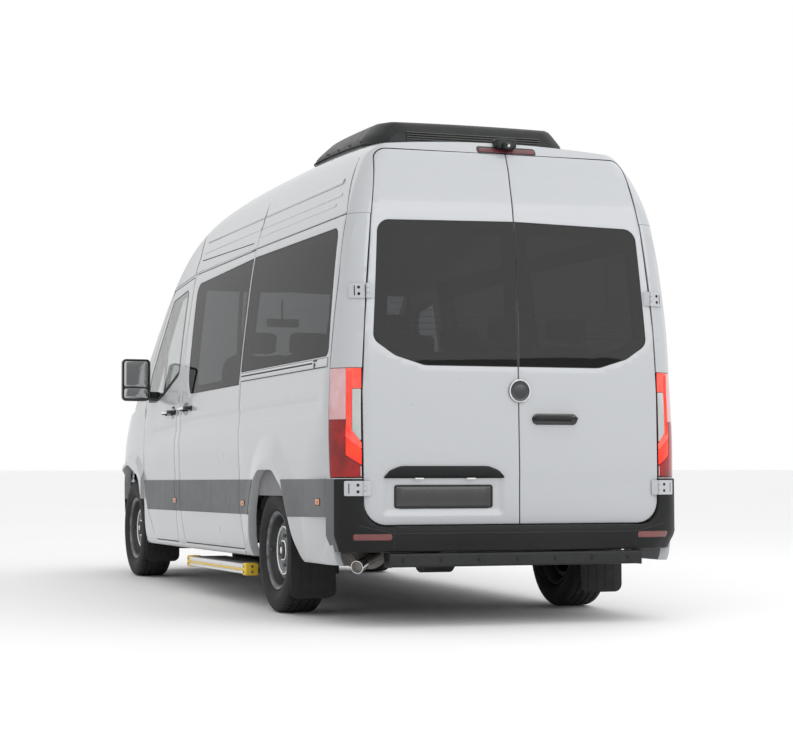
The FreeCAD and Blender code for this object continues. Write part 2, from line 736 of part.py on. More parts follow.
# Under the cab and cabin: floor, wheel houses and frame rails in one piece.
floor_half = side_y(600) - wall - gap
floor_back = rear_face(600) + wall + gap
floor = box(floor_back, cab_front, -1000, 1000, floor_low, floor_top).common(room(wall + seat))
rear_member = box(floor_back, floor_back + 60, -820, 820, floor_low - size("rail_deep"), floor_low)
floor = floor.fuse(rear_member)
rail_wide = size("rail_wide")
rail_deep = size("rail_deep")
rails = []
pad_radius = 40
pad_deep = 12
pad_places = [(-800, 1), (-800, -1), (1290, 1), (1290, -1)]
for x, side_sign in pad_places:
    pad_at = Vector(x, side_sign * size("rail_y"), floor_low - rail_deep - pad_deep)
    rails.append(Part.makeCylinder(pad_radius, pad_deep + 1, pad_at))
for mirror_sign in (1, -1):
    y = mirror_sign * size("rail_y")
    rails.append(box(floor_back, front_x + 560, y - rail_wide / 2, y + rail_wide / 2, floor_low - rail_deep, floor_low))
for x in (-2500, -1100, -300, 500, 1250):
    rails.append(box(x, x + 80, -size("rail_y"), size("rail_y"), floor_low - rail_deep + 20, floor_low))
house_out = size("rear_track_half") + 110
house_in = size("rear_track_half") - 190


def wheel_house(x, z, radius, inner, outer, thick):
    """A half drum over a wheel, closed on the inner side."""
    drum = Part.makeCylinder(radius + thick, outer - inner, Vector(x, inner, z), Vector(0, 1, 0))
    hollow = Part.makeCylinder(radius, 1200 - inner - thick, Vector(x, inner + thick, z), Vector(0, 1, 0))
    return drum, hollow


drum_out = floor_half - gap
rear_drum, rear_hollow = wheel_house(rear_x, hub_z, 440, house_in, drum_out, 12)
rear_drum = rear_drum.common(box(rear_x - 500, rear_x + 500, 0, drum_out, floor_low - 60, 1000))
house_radius = 448
front_drum, front_hollow = wheel_house(front_x, front_hub_z, house_radius, 540, 905, 8)
front_drum = front_drum.common(box(front_x - 470, front_x + 470, 0, 905, floor_low - 60, 1000))
bulkhead = box(cab_front - 20, cab_front, -860, 860, floor_low, 1225)
# The radiator support stops under the bonnet, and two crash boxes reach the bumper.
support = box(2600, 2680, -470, 470, floor_low - rail_deep, 1400)
for side_sign in (1, -1):
    y = side_sign * size("rail_y")
    support = support.fuse(box(2500, 3000, y - rail_wide / 2, y + rail_wide / 2, floor_low - rail_deep, floor_low))
support = support.common(nose_seat)
drums = [rear_drum, mirrored(rear_drum), front_drum, mirrored(front_drum)]
hollows = [rear_hollow, mirrored(rear_hollow), front_hollow, mirrored(front_hollow)]
floor = floor.fuse(rails + drums + [bulkhead, support])
for hollow in hollows:
    floor = floor.cut(hollow)
keep("floor_pan", floor.removeSplitter())

engine = box(front_x - 160, front_x + 600, -290, 290, floor_low - rail_deep, 1030)
keep("engine_block", engine)

# Rear bumper, underride bar and lamps.
bumper_back = half_length
bumper_side_x = -2762
rear_bumper_plan = [
    (-bumper_back, -520, 300), (-bumper_back + 40, -998, 160), (bumper_side_x, -1006, 0),
    (bumper_side_x, 1006, 0), (-bumper_back + 40, 998, 160), (-bumper_back, 520, 300),
]
bumper_low = 372
rear_bumper = prism(rear_bumper_plan, "xy", bumper_low, 505)
corner_plan = [
    (-2914, 845, 10), (-2914, 925, 40), (-2862, 1001, 50), (bumper_side_x, 1006, 0), (bumper_side_x, 845, 0),
]
corner = prism(corner_plan, "xy", bumper_low, lamp_low - gap)
rear_bumper = rear_bumper.fuse([corner, mirrored(corner)])
hollow_plan = [(-2900, -960, 60), (-2600, -960, 0), (-2600, 960, 0), (-2900, 960, 60)]
rear_bumper = rear_bumper.cut(prism(hollow_plan, "xy", 0, 800)).cut(lamp_back_body(-seat))
rear_bumper = largest(rear_bumper)
keep("rear_bumper", rear_bumper)
bar_long = 1430
bar = prism([
    (-2950, 296, 12), (-2950, 368, 12), (-2860, 368, 12), (-2860, 296, 12),
], "xz", -bar_long / 2, bar_long / 2)
for y in (-430, 430):
    bar = bar.fuse(box(-2890, -2800, y - 30, y + 30, 340, 362))
    bar = bar.fuse(box(floor_back + 2, -2790, y - 30, y + 30, 340, floor_low - rail_deep - seat))
keep("underride_bar", bar)

tail = prism(tail_side, "xz", portal_half + seat, 1100).common(lamp_back_body(0))
tail = largest(tail.cut(lamp_back_body(tail_deep)))
keep("tail_lamps", Part.makeCompound([tail, mirrored(tail)]))
# The black cover of the roof cooling unit, seated on the roof skin.
unit_half = size("unit_half")
unit_back = -2335
unit_front = unit_back + size("unit_long")
unit_top = 2775
unit_plan = [
    (unit_front, -unit_half + 200, 90), (unit_front, unit_half - 200, 90), (unit_front - 250, unit_half, 160),
    (unit_back + 150, unit_half, 80), (unit_back, unit_half - 130, 80), (unit_back, -unit_half + 130, 80),
    (unit_back + 150, -unit_half, 80), (unit_front - 250, -unit_half, 160),
]
unit_side = [
    (unit_front, 2400, 0), (unit_front, 2622, 0), (unit_front - 320, 2696, 300), (unit_back + 190, unit_top, 200),
    (unit_back + 70, unit_top - 8, 40), (unit_back, 2700, 0), (unit_back, 2400, 0),
]
unit_across = [
    (-unit_half, 2400, 0), (-unit_half + 4, 2672, 40), (-unit_half + 85, unit_top + 2, 60),
    (unit_half - 85, unit_top + 2, 60), (unit_half - 4, 2672, 40), (unit_half, 2400, 0),
]
unit = prism(unit_plan, "xy", 2400, 2800).common(prism(unit_side, "xz", -700, 700))
unit = unit.common(prism(unit_across, "yz", -3000, 0))
unit = unit.cut(box_body(-seat))
unit = largest(unit)
keep("roof_unit", unit)

# Mirrors on the cab doors.
mirror_plan = [(1180, 1036, 24), (1185, 1238, 30), (1262, 1232, 36), (1306, 1040, 24)]
mirror = prism(mirror_plan, "xy", 1304, 1600)
mirror_arm = prism([(1200, 960, 0), (1200, 1050, 0), (1290, 1050, 0), (1440, 985, 0), (1440, 960, 0)], "xy", 1322, 1372)
mirror_piece = mirror.fuse(mirror_arm).cut(box_body(-seat))
mirror_piece = largest(mirror_piece)
keep("mirror_left", mirror_piece)
keep("mirror_right", mirrored(mirror_piece))

# Mud flaps hang behind each wheel.
flap_rear = box(rear_x - 418, rear_x - 412, 738, 1000, 98, floor_low - 60 - seat)
flap_front = box(front_x - 452 + seat, front_x - 446, 745, 985, 170, 480)
flaps = [flap_rear, mirrored(flap_rear), flap_front, mirrored(flap_front)]
keep("mud_flaps", Part.makeCompound(flaps))

# The side step slides out of its housing below the sliding door.
step_x = size("step_mid_x")
step_half = size("step_long") / 2
step_top = size("step_top")
step_low = step_top - size("step_thick")
reach = size("step_reach")
tread = box(step_x - step_half, step_x + step_half, reach - size("step_wide"), reach, step_low, step_top)
tongue = box(step_x - 560, step_x + 560, 470, reach - size("step_wide"), step_low + 20, step_top - 20)
keep("side_step", tread.fuse(tongue))
housing = box(step_x - 640, step_x + 640, 400, reach - size("step_wide") - 20, step_low - 2, step_top + 18)
housing = housing.cut(box(step_x - 566, step_x + 566, 410, reach, step_low + 20 - seat, step_top - 14))
for x in (-500, 500):
    housing = housing.fuse(box(step_x + x - 40, step_x + x + 40, 400, 460, step_top + 10, floor_low - rail_deep - seat))
keep("step_housing", housing)

# Rear axle with its leaf springs.
axle = Part.makeCylinder(45, 1440, Vector(rear_x, -720, hub_z), Vector(0, 1, 0))
axle = axle.fuse(Part.makeCylinder(140, 180, Vector(rear_x, -90, hub_z), Vector(0, 1, 0)))
rear_track = size("rear_track_half")
hub_inner = 40
for side_sign in (1, -1):
    along = Vector(0, side_sign, 0)
    stub = Part.makeCylinder(60, rear_track + hub_inner - seat - 700, Vector(rear_x, side_sign * 700, hub_z), along)
    disc = Part.makeCylinder(150, 28, Vector(rear_x, side_sign * (rear_track - 40), hub_z), along)
    axle = axle.fuse([stub, disc])
    y = side_sign * size("rail_y")
    leaf_low = Part.Arc(Vector(rear_x - 620, y - 35, 424), Vector(rear_x, y - 35, 392), Vector(rear_x + 620, y - 35, 424)).toShape()
    ends = leaf_low.Vertexes
    leaf_high = Part.Arc(Vector(rear_x + 620, y - 35, floor_low - rail_deep - seat), Vector(rear_x, y - 35, 424), Vector(rear_x - 620, y - 35, floor_low - rail_deep - seat)).toShape()
    wire = Part.Wire([
        leaf_low,
        Part.makeLine(Vector(rear_x + 620, y - 35, 424), Vector(rear_x + 620, y - 35, floor_low - rail_deep - seat)),
        leaf_high,
        Part.makeLine(Vector(rear_x - 620, y - 35, floor_low - rail_deep - seat), Vector(rear_x - 620, y - 35, 424)),
    ])
    axle = axle.fuse(Part.Face(wire).extrude(Vector(0, 70, 0)))
keep("rear_axle", axle)

# Front suspension: cross member, lower arms and struts.
kingpin = size("kingpin_y")
front_track = size("front_track_half")
cross = box(front_x - 90, front_x + 90, -400, 400, 300, floor_low - rail_deep - seat)
arms = [cross]
strut_radius = 30
for side_sign in (1, -1):
    arm = prism([
        (front_x - 150, 380, 0), (front_x - 34, kingpin - 20, 20), (front_x - 34, kingpin + 24, 20),
        (front_x + 34, kingpin + 24, 20), (front_x + 34, kingpin - 20, 20), (front_x + 150, 380, 0),
    ], "xy", front_hub_z - 152, front_hub_z - 122)
    arm = arm.fuse(box(front_x - 90, front_x + 90, 360, 400, front_hub_z - 152, 330))
    strut_low = 120
    strut_high = math.sqrt(house_radius**2 - strut_radius**2) - seat
    foot = Vector(front_x, kingpin - 92, front_hub_z + strut_low)
    strut = Part.makeCylinder(strut_radius, strut_high - strut_low, foot)
    if side_sign < 0:
        arm = mirrored(arm)
        strut = mirrored(strut)
    arms.append(arm)
    arms.append(strut)
frame_front = arms[0].fuse([arms[1], arms[3]])
keep("front_suspension", Part.makeCompound([frame_front, arms[2], arms[4]]))


def knuckle_shape():
    upright = box(front_x - 34, front_x + 34, kingpin - 82, kingpin + 10, front_hub_z - 116, front_hub_z + 112)
    stub = Part.makeCylinder(60, front_track + hub_inner - seat - kingpin, Vector(front_x, kingpin, front_hub_z), Vector(0, 1, 0))
    disc = Part.makeCylinder(150, 28, Vector(front_x, front_track - 50, front_hub_z), Vector(0, 1, 0))
    ball_low = front_hub_z - 122 + seat
    ball = Part.makeCylinder(14, 20, Vector(front_x, kingpin, ball_low))
    return upright.fuse([stub, disc, ball])


keep("knuckle_left", knuckle_shape())
keep("knuckle_right", mirrored(knuckle_shape()))

# Exhaust silencer and tail pipe behind the left rear wheel.
can = Part.makeCylinder(100, 500, Vector(-2700, 735, 385), Vector(1, 0, 0))
tail_pipe = Part.makeCylinder(28, 230, Vector(-2690, 700, 350), Vector(-0.72, 0.66, -0.2))
exhaust = can.fuse(tail_pipe)
for x in (-2640, -2280):
    exhaust = exhaust.fuse(box(x, x + 30, 720, 750, 450, floor_low - seat))
keep("exhaust", exhaust)

# Cab and cabin furniture.
dash = prism([
    (1380, 930, 60), (1360, 1150, 60), (1450, 1235, 60), (cab_front - 20 - seat, 1224, 0),
    (cab_front - 20 - seat, 800, 0), (1560, 780, 40),
], "xz", -870, 870)
steer_x = 1285
steer_y = -430
steer_z = 1140
steer_lean = 62
column_long = 70
lean = math.radians(steer_lean)
ahead = Vector(math.sin(lean), 0, -math.cos(lean))
column_end = Vector(steer_x, steer_y, steer_z) + ahead * (column_long + seat)
dash = dash.fuse(Part.makeCylinder(30, 90, column_end, ahead))
keep("dashboard", dash)
ring_points = []
for i in range(8):
    turn = math.radians(22.5 + 45 * i)
    ring_points.append(Vector(190 + 15 * math.cos(turn), 0, 15 * math.sin(turn)))
ring_face = Part.Face(Part.makePolygon(ring_points + ring_points[:1]))
wheel_ring = ring_face.revolve(Vector(0, 0, 0), Vector(0, 0, 1), 360)
spokes = Part.makeCylinder(60, 26, Vector(0, 0, -20), Vector(0, 0, 1))
for turn in (0, 120, 240):
    bar_shape = Part.makeBox(150, 30, 14, Vector(40, -15, -8))
    bar_shape.rotate(Vector(0, 0, 0), Vector(0, 0, 1), turn)
    spokes = spokes.fuse(bar_shape)
steer = wheel_ring.fuse(spokes)
column = Part.makeCylinder(22, column_long, Vector(0, 0, 0), Vector(0, 0, -1))
steer = steer.fuse(column)
steer_turn = FreeCAD.Rotation(Vector(0, 1, 0), -steer_lean)
steer_place = FreeCAD.Placement(Vector(steer_x, steer_y, steer_z), steer_turn)
steer.Placement = steer_place
keep("steering_wheel", Part.makeCompound([steer]))


def seat_shape(x, y, wide, high):
    """One seat facing forward: legs, cushion, leaning back and head restraint."""
    cushion = box(x, x + 460, y - wide / 2, y + wide / 2, floor_top + 330, floor_top + 440)
    back = prism([
        (x + 60, floor_top + 330, 30), (x + 110, floor_top + 440, 0), (x - 20, floor_top + high, 40),
        (x - 110, floor_top + high, 40), (x - 20, floor_top + 330, 30),
    ], "xz", y - wide / 2, y + wide / 2)
    near = max(y - wide / 2 + 60, -leg_reach)
    far = min(y + wide / 2 - 60, leg_reach)
    legs = box(x + 40, x + 400, near, far, floor_top + seat, floor_top + 340)
    legs = legs.cut(box(x + 80, x + 360, y - wide, y + wide, floor_top, floor_top + 300))
    return cushion.fuse([back, legs])


leg_reach = house_in - gap
seats = [seat_shape(630, -430, 520, 1050), seat_shape(630, 430, 520, 1050)]
for x in (-360, -1130, -1900):
    seats.append(seat_shape(x, -530, 740, 860))
    seats.append(seat_shape(x, 380, 440, 860))
keep("seats", Part.makeCompound(seats))


# Wheels: a turned rim with vent holes and a turned tyre.
def sketch_on(body, role, name):
    """A sketch attached to one of the body's own origin planes."""
    sketch = body.newObject("Sketcher::SketchObject", name)
    plane = [f for f in body.Origin.OriginFeatures if f.Role == role][0]
    sketch.AttachmentSupport = [(plane, "")]
    sketch.MapMode = "FlatFace"
    return sketch


def turned(body, name, corners):
    """A revolution about the wheel axis of a closed profile of (across, radius) expressions."""
    import Sketcher
    sketch = sketch_on(body, "YZ_Plane", name + "_profile")
    values = []
    for across, radius in corners:
        values.append((evaluate(across), evaluate(radius)))
    count = len(corners)
    for i in range(count):
        a = values[i]
        b = values[(i + 1) % count]
        sketch.addGeometry(Part.LineSegment(Vector(a[0], a[1], 0), Vector(b[0], b[1], 0)), False)
    for i in range(count):
        sketch.addConstraint(Sketcher.Constraint("Coincident", i, 2, (i + 1) % count, 1))
    for i, (across, radius) in enumerate(corners):
        for kind, text in (("DistanceX", across), ("DistanceY", radius)):
            if evaluate(text) == 0:
                axis = -2 if kind == "DistanceX" else -1
                sketch.addConstraint(Sketcher.Constraint("PointOnObject", i, 1, axis))
                continue
            index = sketch.addConstraint(Sketcher.Constraint(kind, -1, 1, i, 1, evaluate(text)))
            sketch.setExpression("Constraints[%d]" % index, bind(text))
    feature = body.newObject("PartDesign::Revolution", name)
    feature.Profile = sketch
    feature.ReferenceAxis = (sketch, ["H_Axis"])
    feature.Angle = 360
    return feature


WORDS = [row[0] for row in SIZES]


def bind(text):
    """The expression with each size read from the sheet."""
    out = []
    for word in text.split():
        out.append("sizes." + word if word in WORDS else word)
    return " ".join(out)


def evaluate(text):
    """The value of an expression of sizes joined by plus, minus and divide, left to right."""
    total = 0.0
    sign = 1.0
    words = text.split()
    i = 0
    while i < len(words):
        word = words[i]
        if word in ("+", "-"):
            sign = 1.0 if word == "+" else -1.0
            i += 1
            continue
        value = size(word) if word in WORDS else float(word)
        if i + 2 < len(words) and words[i + 1] == "/":
            value /= float(words[i + 2])
            i += 2
        total += sign * value
        sign = 1.0
        i += 1
    return total


def make_rim(name, place):
    body = doc.addObject("PartDesign::Body", name)
    body.Label = name
    turned(body, name + "_turned", [
        ("52", "0"), ("52", "88"), ("74", "132"), ("66", "158"), ("44", "176"),
        ("84", "rim_radius - 10"), ("91", "rim_flange - 8"), ("98", "rim_flange - 4"),
        ("98", "rim_flange"), ("90", "rim_flange"), ("84", "rim_radius"), ("32", "rim_radius"),
        ("16", "184"), ("- 30", "184"), ("- 46", "rim_radius"), ("- 84", "rim_radius"),
        ("- 90", "rim_flange"), ("- 98", "rim_flange"), ("- 92", "rim_radius - 6"),
        ("- 50", "rim_radius - 8"), ("- 34", "176"), ("20", "174"), ("52", "150"), ("58", "132"),
        ("40", "88"), ("40", "0"),
    ])
    body.Placement = place
    pieces[name] = body
    return body


def make_tyre(name, place):
    body = doc.addObject("PartDesign::Body", name)
    body.Label = name
    half = [
        ("83", "rim_radius + seat_gap"), ("83", "rim_flange + 2"), ("101", "rim_flange + 14"),
        ("tyre_width / 2", "276"), ("tyre_width / 2 - 3", "306"),
        ("tyre_width / 2 - 13", "tyre_radius - 15"), ("tyre_width / 2 - 32", "tyre_radius - 2"),
    ]
    other = []
    for across, radius in reversed(half):
        if across.startswith("tyre_width"):
            rest = across.split("/ 2")[1].replace("-", "+")
            other.append(("0 - tyre_width / 2" + rest, radius))
        else:
            other.append(("- " + across, radius))
    turned(body, name + "_turned", half + [("0", "tyre_radius")] + other)
    body.Placement = place
    pieces[name] = body
    return body


def wheel_place(x, y, z):
    turn = 0 if y > 0 else 180
    return STANCE.multiply(FreeCAD.Placement(Vector(x, y, z), FreeCAD.Rotation(Vector(0, 0, 1), turn)))


WHEELS = [
    ("front_left", front_x, front_track, front_hub_z),
    ("front_right", front_x, -front_track, front_hub_z),
    ("rear_left", rear_x, rear_track, hub_z),
    ("rear_right", rear_x, -rear_track, hub_z),
]
for corner_name, x, y, z in WHEELS:
    make_rim("rim_" + corner_name, wheel_place(x, y, z))
    make_tyre("tyre_" + corner_name, wheel_place(x, y, z))

bad = []
doc.recompute()
for name, feature in pieces.items():
    shape = feature.Shape
    state = feature.State
    if "Invalid" in state or "Error" in state or shape.isNull() or not shape.isValid():
        bad.append(name)
    if len(shape.Solids) == 0:
        bad.append(name)
print("pieces", len(pieces), "bad", bad)
for name, feature in pieces.items():
    if name not in bad:
        feature.Shape.exportStep("parts/%s.step" % name)
    print(name, len(feature.Shape.Solids), round(feature.Shape.Volume / 1e6, 2), feature.Shape.BoundBox)
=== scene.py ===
"""Looks of a high-roof minibus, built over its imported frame: panels, glass, trim, wheels and cabin."""

import json
import logging
import math
from dataclasses import dataclass, field
from enum import Enum
from typing import Callable, Sequence

import bpy
import numpy as np
from mathutils import Matrix, Vector
from mathutils.bvhtree import BVHTree
from mathutils.geometry import delaunay_2d_cdt

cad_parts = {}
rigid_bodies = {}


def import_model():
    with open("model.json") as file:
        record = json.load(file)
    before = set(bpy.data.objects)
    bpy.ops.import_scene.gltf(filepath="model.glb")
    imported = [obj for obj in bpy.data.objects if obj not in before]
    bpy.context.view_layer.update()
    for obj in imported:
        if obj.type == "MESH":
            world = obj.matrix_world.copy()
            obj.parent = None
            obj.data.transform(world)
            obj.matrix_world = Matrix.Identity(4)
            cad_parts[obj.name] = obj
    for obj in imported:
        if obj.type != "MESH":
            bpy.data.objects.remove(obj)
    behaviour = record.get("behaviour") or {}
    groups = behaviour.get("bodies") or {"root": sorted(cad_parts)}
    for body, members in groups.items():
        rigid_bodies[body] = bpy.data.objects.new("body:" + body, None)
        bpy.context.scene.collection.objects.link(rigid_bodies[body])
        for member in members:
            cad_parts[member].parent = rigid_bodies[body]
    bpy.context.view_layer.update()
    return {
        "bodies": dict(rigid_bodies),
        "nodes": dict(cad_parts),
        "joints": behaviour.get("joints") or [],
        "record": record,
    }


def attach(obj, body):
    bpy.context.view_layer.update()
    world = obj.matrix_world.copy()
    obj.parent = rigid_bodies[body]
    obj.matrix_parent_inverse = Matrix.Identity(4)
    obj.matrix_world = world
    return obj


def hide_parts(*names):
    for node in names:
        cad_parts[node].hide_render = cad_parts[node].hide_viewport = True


Array = np.ndarray
Shape = Sequence[tuple[float, ...]]
Surface = Callable[[Array, Array, Array], Array]

LOG = logging.getLogger("minibus")
# The body is drawn level, in millimetres, and turned by RAKE about the rear axle, nose down.
RAKE = math.radians(0.816)
HUB_Z = 350.0
REAR_X = -1703.0
FRONT_X = 1962.0
FRONT_HUB_Z = HUB_Z + (FRONT_X - REAR_X) * math.sin(RAKE)
# The gap round the side doors, and the depth of body sides and doors from skin to lining.
GAP = 6.0
PANEL = 50.0
# Heights of the grey band, how far borders lie behind the panes, and the rear doors' free edges.
CLAD_TOP = 752.0
CLAD_LOW = 548.0
GLASS_BACK = 6.5
LEFT_EDGE = -27.0
RIGHT_EDGE = -33.0


def stand(points: Array) -> Array:
    """Points of the level body in millimetres, turned to the nose-down stance, in metres."""
    p = np.asarray(points, float)
    dx = p[..., 0] - REAR_X
    dz = p[..., 2] - HUB_Z
    x = REAR_X + math.cos(RAKE) * dx + math.sin(RAKE) * dz
    z = HUB_Z - math.sin(RAKE) * dx + math.cos(RAKE) * dz
    return np.stack([x, p[..., 1], z], -1) / 1000.0


class Curve:
    """A monotone cubic through pairs of a place and a value, held level past both ends."""

    def __init__(self, pairs: Sequence[tuple[float, float]]) -> None:
        """Works out the harmonic-mean slopes at the given pairs."""
        self.xs = np.array([p[0] for p in pairs], float)
        self.ys = np.array([p[1] for p in pairs], float)
        slope = np.diff(self.ys) / np.diff(self.xs)
        product = slope[:-1] * slope[1:]
        total = slope[:-1] + slope[1:]
        inner = np.where(product > 0, 2 * product / np.where(total == 0, 1, total), 0.0)
        self.slopes = np.concatenate([slope[:1], inner, slope[-1:]])

    def __call__(self, x: Array | float) -> Array:
        """The value at x: a Hermite cubic between its two neighbours."""
        x = np.clip(np.asarray(x, float), self.xs[0], self.xs[-1])
        i = np.clip(np.searchsorted(self.xs, x, side="right") - 1, 0, len(self.xs) - 2)
        step = self.xs[i + 1] - self.xs[i]
        t = (x - self.xs[i]) / step
        near = (2 * t**3 - 3 * t**2 + 1) * self.ys[i] + (t**3 - 2 * t**2 + t) * step * self.slopes[i]
        far = (3 * t**2 - 2 * t**3) * self.ys[i + 1] + (t**3 - t**2) * step * self.slopes[i + 1]
        return near + far


SIDE_INSET = Curve([
    (100, 80), (290, 45), (340, 25), (550, 7), (755, 2), (950, 0), (1100, 5),
    (1394, 30), (1769, 72), (2079, 117), (2300, 175), (2480, 262), (2700, 420),
])
EDGE_HEIGHT = Curve([
    (-3100, 2440), (-2740, 2530), (-2400, 2572), (-1500, 2606), (-700, 2604),
    (0, 2578), (350, 2535), (623, 2462), (800, 2350), (1000, 2180),
    (1150, 2040), (1500, 1700), (1800, 1400), (2050, 1150), (2200, 1000),
])
REAR_FACE = Curve([
    (100, -2890), (511, -2900), (763, -2902), (1100, -2895), (1343, -2890),
    (1523, -2885), (1769, -2870), (2074, -2842), (2300, -2800), (2475, -2739),
    (2560, -2690), (2750, -2540),
])
CORNER = Curve([(0, 200), (900, 200), (1200, 190), (1396, 160), (1600, 135), (1900, 110), (2142, 95),
                (3000, 95)])
BELT_LINE = Curve([(-2745, 1165), (0, 1137), (1040, 1087), (1400, 1078)])

CAB_DOOR: Shape = [
    (520, 344, 25), (552, 700), (556, 1000), (540, 1420), (492, 1750), (478, 2112, 40),
    (1020, 2062, 70), (1490, 1500, 60), (1506, 1250), (1500, 790, 150), (1395, 560, 150), (1190, 344, 25),
]
CAB_GLASS: Shape = [
    (592, 1462, 50), (600, 2040, 50), (1000, 1992, 60), (1420, 1480, 30), (1452, 1306, 25),
    (1200, 1298, 150), (980, 1338),
]
SLIDER: Shape = [
    (330, 344, 25), (398, 560), (405, 760), (420, 1050), (456, 1400), (466, 1750), (462, 2124, 40),
    (-1000, 2136, 20), (-1006, 1400), (-1066, 1050), (-1086, 760), (-1090, 560), (-1145, 344, 25),
]
SLIDER_GLASS: Shape = [(214, 1317, 60), (300, 1400, 200), (352, 2050, 70), (-990, 2086, 4), (-990, 1322, 4)]
QUARTER_GLASS: Shape = [(-1022, 1396, 10), (-1022, 2088, 4), (-2652, 2081, 70), (-2735, 1396, 40)]
REAR_ARCH: Shape = [
    (-1305, 306), (-1305, 330), (-1350, 560), (-1420, 740, 120), (-1560, 806, 160),
    (-1850, 806, 160), (-2040, 700, 160), (-2145, 540), (-2293, 306),
]
REAR_DOOR: Shape = [
    (-27, 514, 4), (838, 514, 120), (842, 1200), (826, 1560), (776, 2110), (716, 2502, 70), (-27, 2506, 4),
]
REAR_GLASS: Shape = [
    (-27, 1346, 4), (500, 1346, 120), (664, 1396, 90), (783, 1476, 60), (742, 2108, 70), (-27, 2124, 4),
]
PORTAL_EDGE = Curve([(514, 842), (1200, 848), (1560, 832), (2110, 782), (2508, 722)])


def on_right(shape: Shape) -> Shape:
    """An outline of the left rear door carried to the right one, its free edge across the gap."""
    return [(RIGHT_EDGE if c[0] == LEFT_EDGE else -c[0], *c[1:]) for c in shape]


def side_y(z: Array | float) -> Array:
    """Half width of the body at a height."""
    return 1010.0 - SIDE_INSET(z)


def ease(t: Array) -> Array:
    """A smooth step from 0 to 1: three t squared less two t cubed, held outside 0 to 1."""
    t = np.clip(t, 0.0, 1.0)
    return t * t * (3 - 2 * t)


class Arch:
    """The stamped flare over a rear wheel, as a height over the side skin."""

    centre = (-1760.0, 420.0)
    outer = Curve([(-10, 610), (30, 560), (60, 555), (85, 600), (105, 600), (130, 585), (150, 580),
                   (190, 640)])
    rise = 24.0
    slope = 150.0

    @classmethod
    def polar(cls, x: Array, z: Array) -> tuple[Array, Array]:
        """Distance and angle in degrees of points about the flare's centre."""
        dx = x - cls.centre[0]
        dz = z - cls.centre[1]
        return np.hypot(dx, dz), np.degrees(np.arctan2(dz, -dx))

    @classmethod
    def height(cls, x: Array, z: Array) -> Array:
        """Zero outside the contour, rising evenly to a flat lip nearer the wheel."""
        far, angle = cls.polar(x, z)
        inside = (cls.outer(np.where(angle < -20, 180, angle)) - far) / cls.slope
        run = np.clip(inside, 0, 1)
        soft = np.where(run < 0.12, run * run / 0.24, run - 0.06) / 0.94
        return cls.rise * soft * ease((z - 240) / 200)


def side_relief(x: Array, z: Array) -> Array:
    """Stamped lines of the side: a crease under the belt, a full shoulder and the rear flare."""
    belt = BELT_LINE(x)
    below = belt - z
    hollow = -5.0 * ease((45 + below) / 45) * ease((125 - below) / 110)
    groove = -1.6 * np.exp(-((below / 7.0) ** 2))
    shoulder = 4.0 * ease((below - 20) / 85) * ease((z - 700) / 330)
    fade = ease((1400 - x) / 250)
    return (hollow + groove + shoulder) * fade + Arch.height(x, z)


@dataclass(frozen=True)
class SideSkin:
    """The side of the body, wrapped round the rear corner: u runs along, v is the height."""

    proud: float = 0.0

    def __call__(self, u: Array, v: Array, depth: Array) -> Array:
        """Side points: x is u to the corner, then an arc, then the rear face; depth goes inward."""
        face, bend = REAR_FACE(v), CORNER(v)
        start = face + bend
        turn = np.clip((start - u) / bend, 0, math.pi / 2)
        run = np.maximum(start - u - bend * math.pi / 2, 0)
        out = bend - (depth - self.proud) * np.where(turn > 0, 1, 0)
        wide = side_y(v) + side_relief(u, v) * ease((u - start) / 80)
        x = np.where(turn > 0, start - out * np.sin(turn), u)
        y = np.where(turn > 0, wide - bend + out * np.cos(turn) - run, wide - depth + self.proud)
        return np.stack([x, y, v], -1)

    @staticmethod
    def around(y: float, z: float) -> float:
        """The u of a point on the rear corner or face that has this y."""
        bend = float(CORNER(z))
        start = float(REAR_FACE(z)) + bend
        share = (y - float(side_y(z)) + bend) / bend
        if share < 0:
            return start - bend * math.pi / 2 + share * bend
        return start - bend * math.acos(min(share, 1.0))


def press_plate(y: Array, z: Array) -> Array:
    """Depth of the plate recess on the left rear door, with soft sloping edges."""
    across = ease((y - 52) / 34) * ease((744 - y) / 34)
    return 11.0 * across * ease((z - 556) / 40) * ease((770 - z) / 12)


@dataclass(frozen=True)
class RearSkin:
    """The rear face: u is y, v is the height, the upright corners curve forward."""

    proud: float = 0.0

    def __call__(self, u: Array, v: Array, depth: Array) -> Array:
        """Rear points: the leaning face, a corner arc past the flat part, depth goes forward."""
        bend = CORNER(v)
        over = np.clip((np.abs(u) - side_y(v) + bend) / bend, 0, 0.98)
        bend = bend * (1 - np.sqrt(1 - over**2))
        press = -4.5 * ease((2374 - v) / 16) * ease((v - 2200) / 140) - 2.5 * ease((758 - v) / 14)
        return np.stack([REAR_FACE(v) + bend - press + press_plate(u, v) + depth - self.proud, u, v], -1)


def corner_list(shape: Shape) -> list[tuple[float, float, float]]:
    """The corners with a radius each, nought where none is given."""
    return [(c[0], c[1], c[2] if len(c) > 2 else 0.0) for c in shape]


